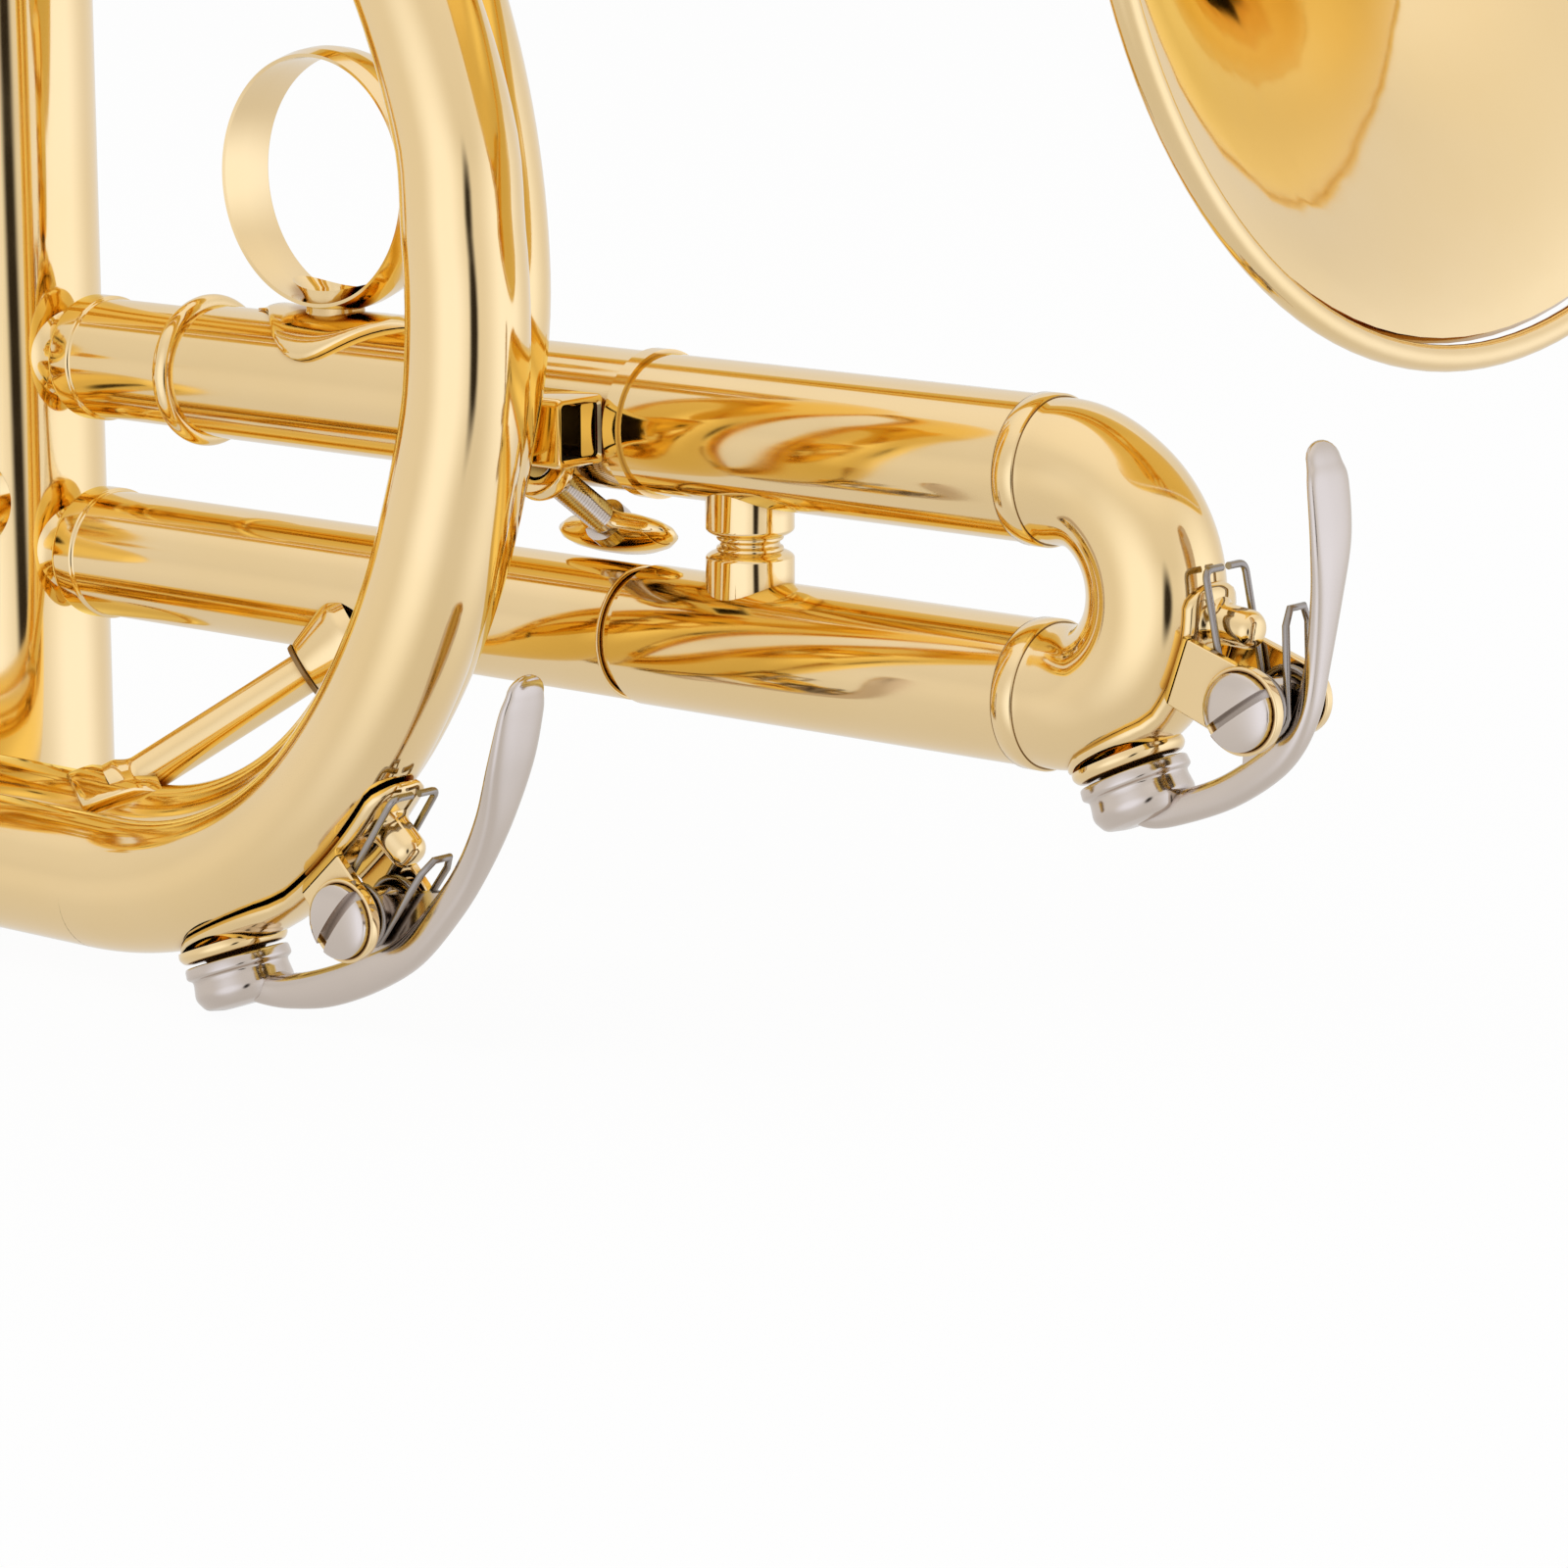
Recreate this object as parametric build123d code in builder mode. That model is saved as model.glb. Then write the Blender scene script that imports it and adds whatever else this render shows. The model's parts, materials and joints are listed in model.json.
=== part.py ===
from build123d import *
from math import atan2, cos, degrees, pi, radians, sin
import os

os.makedirs("parts", exist_ok=True)

# A B-flat cornet. Millimetres. The origin is the mouth of the mouthpiece receiver, on its bore.
# +X runs forward along the leadpipe to the bell, +Y is the player's left, +Z is up along the valves.

# Valve block
VALVE_Y = 33.0            # plane of the three valve axes
VALVE_3_X = 160.0         # third valve, the one nearest the bell
VALVE_PITCH = 24.5        # from one valve to the next
CASING_R = 9.65
CASING_BORE_R = 8.6
PISTON_FIT = 0.05         # running clearance of a piston in its casing, radial
CASING_BOTTOM = -119.3
CASING_TOP = 1.7
CAP_R = 10.4
CAP_LIP = 6.5             # how far a top cap covers the casing thread
BOTTOM_LIP = 1.6          # the bottom caps screw inside and show only a low rim
CAP_FACE = 1.6
STROKE = 16.0
PISTON_LOW = -98.3        # underside of a raised piston
PISTON_LENGTH = 80.0
PISTON_TOP_HOLLOW = 6.0    # depth of the recess round the foot of the stem
PISTON_LOW_HOLLOW = 6.6   # depth of the recess over the spring
PASSAGE_R = 4.6
STEM_R = 2.1
STEM_CLEAR = 0.3
BUTTON_R = 7.2
BUTTON_RISE = 19.0        # underside of a raised button above its cap
SPRING_R = 6.4
SPRING_WIRE = 0.9
SPRING_TURNS = 6

# Tubing
BORE_R = 5.85
WALL = 0.5
TUBE_R = BORE_R + WALL    # 6.35, the plain tubes
SLIDE_FIT = 0.05          # running clearance of an inner slide tube, radial
SOLDER = 0.03             # gap between two soldered pieces
SLEEVE_R = 6.65           # the thick sleeves of the third slide
KNUCKLE_Z = -85.3         # height of the tubes joining the valves

# Mouthpiece end and the first front bow, which tapers all the way round
RECEIVER_BORE_R = 4.85
RECEIVER_DEPTH = 24.0
RECEIVER_R = 6.3
LEAD_START_R = 4.55
LEAD_END_R = 4.75
BOW_CORNER_R = 42.0       # the corners of both front bows
BOW_1_X = 208.6           # where the straight leadpipe turns into the bow
BOW_1_BULGE = 6.0         # how far the wide front arc stands beyond the corners
BOW_1_SHOULDER = 15.4     # half the height between the centres of the corners
BOW_1_REACH = BOW_CORNER_R + BOW_1_BULGE
BOW_1_RISE = BOW_CORNER_R + BOW_1_SHOULDER

# Second front bow, on the bell side
BOW_2_X = 199.1
BOW_2_Y = 12.8
BOW_2_TOP = 1.3
BOW_2_BULGE = 5.0
BOW_2_SHOULDER = 15.9
BOW_2_REACH = BOW_CORNER_R + BOW_2_BULGE
BOW_2_RISE = BOW_CORNER_R + BOW_2_SHOULDER
BOW_2_R = 6.15

# Third valve slide
THIRD_UPPER_Z = -70.4
THIRD_LOWER_Z = -90.6
THIRD_PITCH = THIRD_UPPER_Z - THIRD_LOWER_Z
BEAD_X = 189.0            # open end of the upper sleeve
BEAD_R = 1.1              # half round wire that stiffens that end
STUB_REACH = 15.4         # from the valve axis to the ferrules of the slide
STUB_R = 5.5              # the narrow stubs between casing and ferrules
FERRULE_LENGTH = 4.7
LIP_X = 249.6             # ring lip on the upper sleeve, seam of the lower one
FERRULE_X = 295.3
BOW_3_X = 298.3           # centre of the end bow
BOW_3_R = 6.2
RING_R = 12.6
RING_BAND = 1.0
RING_WIDTH = 6.0
RING_X = 208.0

# First and second valve slides
FIRST_REACH = 26.0        # visible length of each slide leg
SECOND_REACH = 10.0
SECOND_LOWER_Z = THIRD_UPPER_Z
SECOND_UPPER_Z = THIRD_UPPER_Z + THIRD_PITCH

# Main tuning slide, behind the valves on the right
TUNE_Y = 0.0
TUNE_MOUTH_X = 120.0      # rear ends of its outer tubes
TUNE_BOW_X = 98.0

# Bell
BELL_Y = 60.6
BELL_Z = -2.1
BELL_RIM_X = 323.5
BELL_RIM_R = 58.7
BELL_START_X = 98.0
BELL_WALL = 0.55
RIM_WIRE_R = 1.2

FRONT = Vector(1, 0, 0)
LEFT = Vector(0, 1, 0)
UP = Vector(0, 0, 1)


def save(builder, name):
    """Label one finished sub-part and write it out."""
    builder.part.label = name
    export_step(builder.part, f"parts/{name}.step")


def rod(start, direction, length, radius, mode=Mode.ADD):
    """A round bar from start along direction."""
    with BuildSketch(Plane(origin=start, z_dir=direction)) as section:
        Circle(radius)
    extrude(section.sketch, amount=length, mode=mode)


def pipe(start, direction, length, outer, inner):
    """A straight tube from start along direction."""
    with BuildSketch(Plane(origin=start, z_dir=direction)) as section:
        Circle(outer)
        Circle(inner, mode=Mode.SUBTRACT)
    extrude(section.sketch, amount=length)


def bend(start, heading, centre, angle, outer, inner=0.0):
    """A tube bent in an arc that leaves start along heading, round centre, by angle degrees."""
    out = start - centre
    axis = out.cross(heading)
    with BuildSketch(Plane(origin=start, x_dir=out, z_dir=heading)) as section:
        Circle(outer)
        if inner > 0:
            Circle(inner, mode=Mode.SUBTRACT)
    revolve(section.sketch, axis=Axis(centre, axis), revolution_arc=angle)


def ferrule(start, length, outer, inner):
    """A collar that runs along X from start, with a rounded rear end."""
    edge = 0.8
    bulge = edge * (1 - cos(pi / 4))
    with BuildSketch(Plane(origin=start, x_dir=FRONT, z_dir=-LEFT)) as section:
        with BuildLine():
            Polyline((0, outer - edge), (0, inner), (length, inner), (length, outer), (edge, outer))
            ThreePointArc((edge, outer), (bulge, outer - bulge), (0, outer - edge))
        make_face()
    revolve(section.sketch, axis=Axis(start, FRONT))


def cone(start, direction, length, near, far, mode=Mode.ADD):
    """A turned cone or straight collar from start along direction."""
    with BuildSketch(Plane(origin=start, z_dir=direction)) as first:
        Circle(near)
    with BuildSketch(Plane(origin=start + direction.normalized() * length, z_dir=direction)) as last:
        Circle(far)
    loft([first.sketch, last.sketch], mode=mode)


def oval(x, y, top, reach, rise):
    """The centre line of a front bow: two small corners and one wide front arc."""
    front = (reach**2 - BOW_CORNER_R**2 + (rise - BOW_CORNER_R) ** 2) / (2 * (reach - BOW_CORNER_R))
    mid = top - rise
    turn = atan2(rise - BOW_CORNER_R, front - reach)
    joint = (x + BOW_CORNER_R * cos(turn), rise - BOW_CORNER_R + BOW_CORNER_R * sin(turn))
    half = (pi / 2 + turn) / 2
    shoulder = (x + BOW_CORNER_R * cos(half), rise - BOW_CORNER_R + BOW_CORNER_R * sin(half))
    a = (x, y, top)
    b = (shoulder[0], y, mid + shoulder[1])
    c = (joint[0], y, mid + joint[1])
    d = (x + reach, y, mid)
    e = (joint[0], y, mid - joint[1])
    f = (shoulder[0], y, mid - shoulder[1])
    g = (x, y, mid - rise)
    return a, b, c, d, e, f, g


def valve_x(number):
    """X of valve 1, 2 or 3."""
    return VALVE_3_X - (3 - number) * VALVE_PITCH


# ---------------------------------------------------------------- mouthpiece end

with BuildPart() as receiver:
    with BuildSketch(Plane.XZ):
        with BuildLine():
            Polyline(
                (0, RECEIVER_BORE_R),
                (0, RECEIVER_R + 0.9),
                (1.2, RECEIVER_R + 1.3),
                (4.2, RECEIVER_R + 1.3),
                (5.4, RECEIVER_R + 0.2),
                (RECEIVER_DEPTH + 5, RECEIVER_R - 0.6),
                (RECEIVER_DEPTH + 6, RECEIVER_R + 0.1),
                (RECEIVER_DEPTH + 8, RECEIVER_R + 0.1),
                (RECEIVER_DEPTH + 9, RECEIVER_R - 0.8),
                (RECEIVER_DEPTH + 9, LEAD_START_R + SOLDER),
                (RECEIVER_DEPTH, LEAD_START_R + SOLDER),
                (RECEIVER_DEPTH, RECEIVER_BORE_R),
                close=True,
            )
        make_face()
    revolve(axis=Axis.X)
save(receiver, "mouthpiece_receiver")

with BuildPart() as leadpipe:
    with BuildSketch(Plane.XZ):
        with BuildLine():
            Polyline(
                (RECEIVER_DEPTH + 0.1, LEAD_START_R - WALL),
                (RECEIVER_DEPTH + 0.1, LEAD_START_R),
                (RECEIVER_DEPTH + 9, LEAD_START_R),
                (BOW_1_X, LEAD_END_R),
                (BOW_1_X, LEAD_END_R - WALL),
                close=True,
            )
        make_face()
    revolve(axis=Axis.X)
save(leadpipe, "leadpipe")

BOW_1_END = Vector(BOW_1_X, 0, -2 * BOW_1_RISE)

with BuildPart() as front_bow:
    a, b, c, d, e, f, g = oval(BOW_1_X, 0, 0, BOW_1_REACH, BOW_1_RISE)
    with BuildLine() as centre_line:
        ThreePointArc(a, b, c)
        ThreePointArc(c, d, e)
        ThreePointArc(e, f, g)
    path = centre_line.wires()[0]
    for trim, mode in ((0, Mode.ADD), (WALL, Mode.SUBTRACT)):
        with BuildSketch(Plane(origin=a, z_dir=FRONT)):
            Circle(LEAD_END_R - trim)
        with BuildSketch(Plane(origin=g, z_dir=-FRONT)):
            Circle(TUBE_R - trim)
        sweep(path=path, multisection=True, mode=mode)
save(front_bow, "front_bow")

# ---------------------------------------------------------------- main tuning slide

with BuildPart() as tuning_outer_lower:
    pipe(BOW_1_END, -FRONT, BOW_1_X - TUNE_MOUTH_X, TUBE_R, BORE_R)
    pipe(Vector(TUNE_MOUTH_X + 3, 0, BOW_1_END.Z), -FRONT, 3, TUBE_R + 0.2, TUBE_R - 0.1)
save(tuning_outer_lower, "tuning_outer_lower")

ELBOW = 6.6
INLET_X = VALVE_3_X - ELBOW
with BuildPart() as tuning_outer_upper:
    start = Vector(INLET_X, TUNE_Y, KNUCKLE_Z)
    pipe(start, -FRONT, INLET_X - TUNE_MOUTH_X, TUBE_R, BORE_R)
    pipe(Vector(TUNE_MOUTH_X + 3, TUNE_Y, KNUCKLE_Z), -FRONT, 3, TUBE_R + 0.2, TUBE_R - 0.1)
    bend(start, FRONT, start + LEFT * ELBOW, 90, TUBE_R, BORE_R)
    stub = Vector(VALVE_3_X, TUNE_Y + ELBOW, KNUCKLE_Z)
    pipe(stub, LEFT, VALVE_Y - stub.Y, TUBE_R, BORE_R)
    collar = Vector(VALVE_3_X, VALVE_Y - CASING_R - 2.2, KNUCKLE_Z)
    pipe(collar, LEFT, CASING_R, TUBE_R + 0.65, TUBE_R - 0.1)
    rod(Vector(VALVE_3_X, VALVE_Y, CASING_BOTTOM), UP, 60, CASING_R + SOLDER, Mode.SUBTRACT)
save(tuning_outer_upper, "tuning_outer_upper")

TUNE_LOW = Vector(TUNE_BOW_X, 0, BOW_1_END.Z)
TUNE_HIGH = Vector(TUNE_BOW_X, TUNE_Y, KNUCKLE_Z)
TUNE_MID = (TUNE_LOW + TUNE_HIGH) * 0.5
with BuildPart() as tuning_slide_tubes:
    for leg in (TUNE_LOW, TUNE_HIGH):
        inner_r = BORE_R - SLIDE_FIT
        pipe(leg, FRONT, TUNE_MOUTH_X + 24 - TUNE_BOW_X, inner_r, inner_r - WALL)
        pipe(leg, FRONT, TUNE_MOUTH_X - 0.4 - TUNE_BOW_X, TUBE_R, inner_r - 0.1)
        pipe(Vector(TUNE_MOUTH_X - 3.4, leg.Y, leg.Z), FRONT, 3, TUBE_R + 0.2, TUBE_R - 0.1)
        pipe(leg, FRONT, 2.2, TUBE_R + 0.2, TUBE_R - 0.1)
save(tuning_slide_tubes, "tuning_slide_tubes")

with BuildPart() as tuning_bow:
    bend(TUNE_LOW, -FRONT, TUNE_MID, 180, BOW_3_R, BORE_R - 0.1)
save(tuning_bow, "tuning_bow")

with BuildPart() as tuning_brace:
    across = (TUNE_HIGH - TUNE_LOW).normalized()
    span = (TUNE_HIGH - TUNE_LOW).length
    foot = TUNE_LOW + FRONT * 9
    rod(foot, across, span, 1.8)
    for depth in (0, span - TUBE_R - 2.4):
        rod(foot + across * depth, across, TUBE_R + 2.4, 3.6)
    rod(foot + across * (span / 2 - 1.5), across, 3, 2.8)
    for leg in (TUNE_LOW, TUNE_HIGH):
        rod(leg, FRONT, 20, TUBE_R + SOLDER, Mode.SUBTRACT)
save(tuning_brace, "tuning_brace")

# ---------------------------------------------------------------- bell branch

BRANCH_START = Vector(valve_x(1), VALVE_Y - CASING_R, KNUCKLE_Z)
BOW_2_LOW = BOW_2_TOP - 2 * BOW_2_RISE
DROP = 11.0
with BuildPart() as bell_branch:
    elbow_y = BOW_2_Y + 6.4
    first = Vector(valve_x(1), elbow_y, KNUCKLE_Z)
    pipe(first + LEFT * (VALVE_Y - elbow_y), -LEFT, VALVE_Y - elbow_y, BOW_2_R, BOW_2_R - WALL)
    bend(first, -LEFT, first - UP * 6.4, 90, BOW_2_R, BOW_2_R - WALL)
    second = Vector(valve_x(1), BOW_2_Y, KNUCKLE_Z - 6.4)
    pipe(second, -UP, second.Z - BOW_2_LOW - DROP, BOW_2_R, BOW_2_R - WALL)
    third = Vector(valve_x(1), BOW_2_Y, BOW_2_LOW + DROP)
    bend(third, -UP, third + FRONT * DROP, 90, BOW_2_R, BOW_2_R - WALL)
    run = Vector(valve_x(1) + DROP, BOW_2_Y, BOW_2_LOW)
    pipe(run, FRONT, BOW_2_X - run.X, BOW_2_R, BOW_2_R - WALL)
    rod(Vector(valve_x(1), VALVE_Y, CASING_BOTTOM), UP, 60, CASING_R + SOLDER, Mode.SUBTRACT)
save(bell_branch, "bell_branch")

with BuildPart() as second_bow:
    a, b, c, d, e, f, g = oval(BOW_2_X, BOW_2_Y, BOW_2_TOP, BOW_2_REACH, BOW_2_RISE)
    with BuildLine() as centre_line:
        ThreePointArc(a, b, c)
        ThreePointArc(c, d, e)
        ThreePointArc(e, f, g)
    with BuildSketch(Plane(origin=a, z_dir=FRONT)):
        Circle(BOW_2_R)
        Circle(BOW_2_R - WALL, mode=Mode.SUBTRACT)
    sweep(path=centre_line.wires()[0])
save(second_bow, "second_bow")

CROOK_LOW = Vector(BELL_START_X, BOW_2_Y, BOW_2_TOP)
CROOK_HIGH = Vector(BELL_START_X, BELL_Y, BELL_Z)
with BuildPart() as bell_crook:
    pipe(Vector(BOW_2_X, BOW_2_Y, BOW_2_TOP), -FRONT, BOW_2_X - BELL_START_X, BOW_2_R, BOW_2_R - WALL)
    bend(CROOK_LOW, -FRONT, (CROOK_LOW + CROOK_HIGH) * 0.5, 180, BOW_2_R, BOW_2_R - WALL)
save(bell_crook, "bell_crook")

FLARE = (
    (0.0, BOW_2_R),
    (0.18, 7.1),
    (0.36, 8.6),
    (0.54, 11.0),
    (0.68, 14.2),
    (0.79, 18.9),
    (0.875, 25.6),
    (0.935, 34.6),
    (0.975, 46.0),
    (1.0, BELL_RIM_R - RIM_WIRE_R),
)
BELL_LENGTH = BELL_RIM_X - BELL_START_X - RIM_WIRE_R
with BuildPart() as bell:
    outer = [(BELL_START_X + s * BELL_LENGTH, r) for s, r in FLARE]
    inner = [(x + BELL_WALL * min(1.0, (r - BOW_2_R) / 30), r - BELL_WALL) for x, r in outer]
    with BuildSketch(Plane(origin=(0, BELL_Y, BELL_Z), x_dir=FRONT, z_dir=-LEFT)):
        with BuildLine():
            Spline(*outer, tangents=((1, 0.02), (0.25, 1)))
            Line(outer[-1], inner[-1])
            Spline(*inner, tangents=((1, 0.02), (0.25, 1)))
            Line(inner[0], outer[0])
        make_face()
    revolve(axis=Axis((0, BELL_Y, BELL_Z), FRONT))
save(bell, "bell")

with BuildPart() as bell_rim:
    with BuildSketch(Plane(origin=(0, BELL_Y, BELL_Z), x_dir=FRONT, z_dir=-LEFT)):
        with Locations((BELL_RIM_X, BELL_RIM_R)):
            Circle(RIM_WIRE_R)
        with Locations((BELL_RIM_X - RIM_WIRE_R, BELL_RIM_R - RIM_WIRE_R)):
            Rectangle(1.0, 1.0, mode=Mode.SUBTRACT)
    revolve(axis=Axis((0, BELL_Y, BELL_Z), FRONT))
save(bell_rim, "bell_rim")

# ---------------------------------------------------------------- valve block


def casing_ports(number):
    """Where tubes open into a casing: (height, direction)."""
    ports = {
        1: [(KNUCKLE_Z, FRONT), (KNUCKLE_Z, -LEFT), (THIRD_UPPER_Z, -FRONT), (THIRD_LOWER_Z, -FRONT)],
        2: [(KNUCKLE_Z, FRONT), (KNUCKLE_Z, -FRONT), (SECOND_UPPER_Z, -LEFT), (SECOND_LOWER_Z, -LEFT)],
        3: [(KNUCKLE_Z, -FRONT), (KNUCKLE_Z, -LEFT), (THIRD_UPPER_Z, FRONT), (THIRD_LOWER_Z, FRONT)],
    }
    return ports[number]


for number in (1, 2, 3):
    axis_x = valve_x(number)
    with BuildPart() as casing:
        pipe(Vector(axis_x, VALVE_Y, CASING_BOTTOM), UP, CASING_TOP - CASING_BOTTOM, CASING_R, CASING_BORE_R)
        for height, side in casing_ports(number):
            rod(Vector(axis_x, VALVE_Y, height), side, CASING_R + 2, PASSAGE_R, Mode.SUBTRACT)
    save(casing, f"valve_casing_{number}")

with BuildPart() as knuckles:
    for number in (1, 2):
        start = Vector(valve_x(number) + 4, VALVE_Y, KNUCKLE_Z)
        pipe(start, FRONT, VALVE_PITCH - 8, TUBE_R, BORE_R)
    for number in (1, 2, 3):
        rod(Vector(valve_x(number), VALVE_Y, KNUCKLE_Z - 10), UP, 20, CASING_R + SOLDER, Mode.SUBTRACT)
save(knuckles, "valve_knuckles")

with BuildPart() as bottom_caps:
    for number in (1, 2, 3):
        base = CASING_BOTTOM - CAP_FACE
        with BuildSketch(Plane.XY.offset(base)):
            with Locations((valve_x(number), VALVE_Y)):
                Circle(CAP_R)
        extrude(amount=CAP_FACE + BOTTOM_LIP)
        with BuildSketch(Plane.XY.offset(CASING_BOTTOM)):
            with Locations((valve_x(number), VALVE_Y)):
                Circle(CASING_R + SOLDER)
        extrude(amount=BOTTOM_LIP, mode=Mode.SUBTRACT)
        with BuildSketch(Plane.XY.offset(base)):
            with Locations((valve_x(number), VALVE_Y)):
                Circle(1.2)
        extrude(amount=CAP_FACE, mode=Mode.SUBTRACT)
save(bottom_caps, "bottom_caps")

with BuildPart() as top_caps:
    for number in (1, 2, 3):
        with BuildSketch(Plane.XY.offset(CASING_TOP - CAP_LIP)):
            with Locations((valve_x(number), VALVE_Y)):
                Circle(CAP_R)
        extrude(amount=CAP_FACE + CAP_LIP)
        with BuildSketch(Plane.XY.offset(CASING_TOP + CAP_FACE)):
            with Locations((valve_x(number), VALVE_Y)):
                Circle(CAP_R - 4)
        extrude(amount=1.2)
        with BuildSketch(Plane.XY.offset(CASING_TOP - CAP_LIP)):
            with Locations((valve_x(number), VALVE_Y)):
                Circle(CASING_R + SOLDER)
        extrude(amount=CAP_LIP, mode=Mode.SUBTRACT)
        with BuildSketch(Plane.XY.offset(CASING_TOP)):
            with Locations((valve_x(number), VALVE_Y)):
                Circle(STEM_R + STEM_CLEAR)
        extrude(amount=CAP_FACE + 1.2, mode=Mode.SUBTRACT)
save(top_caps, "top_caps")

CAP_TOP = CASING_TOP + CAP_FACE + 1.2
PISTON_TOP = PISTON_LOW + PISTON_LENGTH
STEM_FOOT = PISTON_TOP - PISTON_TOP_HOLLOW
BUTTON_Z = CAP_TOP + BUTTON_RISE
PISTON_R = CASING_BORE_R - PISTON_FIT
for number in (1, 2, 3):
    axis_x = valve_x(number)
    with BuildPart() as piston:
        with BuildSketch(Plane.XY.offset(PISTON_LOW)):
            with Locations((axis_x, VALVE_Y)):
                Circle(PISTON_R)
        extrude(amount=PISTON_LENGTH)
        with BuildSketch(Plane.XY.offset(STEM_FOOT)):
            with Locations((axis_x, VALVE_Y)):
                Circle(PISTON_R - 0.8)
        extrude(amount=PISTON_TOP_HOLLOW, mode=Mode.SUBTRACT)
        with BuildSketch(Plane.XY.offset(PISTON_LOW)):
            with Locations((axis_x, VALVE_Y)):
                Circle(PISTON_R - 1.0)
        extrude(amount=PISTON_LOW_HOLLOW, mode=Mode.SUBTRACT)
        for height, side in casing_ports(number):
            lift = 0 if height == KNUCKLE_Z else STROKE
            rod(Vector(axis_x, VALVE_Y, height + lift), side, PISTON_R + 2, PASSAGE_R, Mode.SUBTRACT)
    save(piston, f"piston_{number}")

    with BuildPart() as stem:
        rod(Vector(axis_x, VALVE_Y, STEM_FOOT + SOLDER), UP, 3, 4.5)
        rod(Vector(axis_x, VALVE_Y, STEM_FOOT + SOLDER), UP, BUTTON_Z - STEM_FOOT, STEM_R)
        with BuildSketch(Plane.XY.offset(BUTTON_Z)):
            with Locations((axis_x, VALVE_Y)):
                Circle(BUTTON_R)
        extrude(amount=3.0)
        rod(Vector(axis_x, VALVE_Y, BUTTON_Z - 2.4), UP, 2.4, 3.9)
        with BuildSketch(Plane.XY.offset(BUTTON_Z + 1.6)):
            with Locations((axis_x, VALVE_Y)):
                Circle(BUTTON_R - 1.1)
        extrude(amount=1.4, mode=Mode.SUBTRACT)
    save(stem, f"valve_stem_{number}")

    with BuildPart() as pearl:
        with BuildSketch(Plane.XY.offset(BUTTON_Z + 1.6 + SOLDER)):
            with Locations((axis_x, VALVE_Y)):
                Circle(BUTTON_R - 1.1 - SOLDER)
        extrude(amount=1.7)
    save(pearl, f"button_pearl_{number}")

    with BuildPart() as valve_spring:
        low = CASING_BOTTOM + SPRING_WIRE / 2 + 0.15
        high = PISTON_LOW + PISTON_LOW_HOLLOW - SPRING_WIRE / 2 - 0.15
        with BuildLine() as coil:
            Helix((high - low) / SPRING_TURNS, high - low, SPRING_R, center=(axis_x, VALVE_Y, low))
        with BuildSketch(Plane(origin=coil.line @ 0, z_dir=coil.line % 0)):
            Rectangle(SPRING_WIRE, SPRING_WIRE)
        sweep(path=coil.line)
    save(valve_spring, f"valve_spring_{number}")

# ---------------------------------------------------------------- third valve slide, fixed half

INNER_R = SLEEVE_R - WALL - SLIDE_FIT
INNER_BORE = INNER_R - 0.7
with BuildPart() as third_inner_upper:
    port = Vector(VALVE_3_X, VALVE_Y, THIRD_UPPER_Z)
    mouth = port + FRONT * STUB_REACH
    pipe(port, FRONT, STUB_REACH + 2, STUB_R, PASSAGE_R)
    pipe(mouth + FRONT, FRONT, 105 - STUB_REACH, INNER_R, INNER_BORE)
    ferrule(mouth, FERRULE_LENGTH, INNER_R + 0.3, INNER_R - 0.1)
    pipe(mouth + FRONT * 0.2, FRONT, 1.4, INNER_R, STUB_R - 0.1)
    rod(Vector(VALVE_3_X, VALVE_Y, THIRD_UPPER_Z - 12), UP, 24, CASING_R + SOLDER, Mode.SUBTRACT)
save(third_inner_upper, "third_inner_upper")

LOWER_R = SLEEVE_R - 0.2
LOWER_BORE = LOWER_R - WALL
with BuildPart() as third_outer_lower:
    port = Vector(VALVE_3_X, VALVE_Y, THIRD_LOWER_Z)
    mouth = port + FRONT * (STUB_REACH + 0.4)
    pipe(port, FRONT, STUB_REACH + 1.6, STUB_R, PASSAGE_R)
    pipe(mouth + FRONT, FRONT, LIP_X - 1.5 - mouth.X, LOWER_R, LOWER_BORE)
    ferrule(mouth, FERRULE_LENGTH, LOWER_R + 0.25, LOWER_R - 0.1)
    pipe(mouth + FRONT * 0.2, FRONT, 1.2, LOWER_R, STUB_R - 0.1)
    rod(Vector(VALVE_3_X, VALVE_Y, THIRD_LOWER_Z - 12), UP, 24, CASING_R + SOLDER, Mode.SUBTRACT)
save(third_outer_lower, "third_outer_lower")

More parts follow.
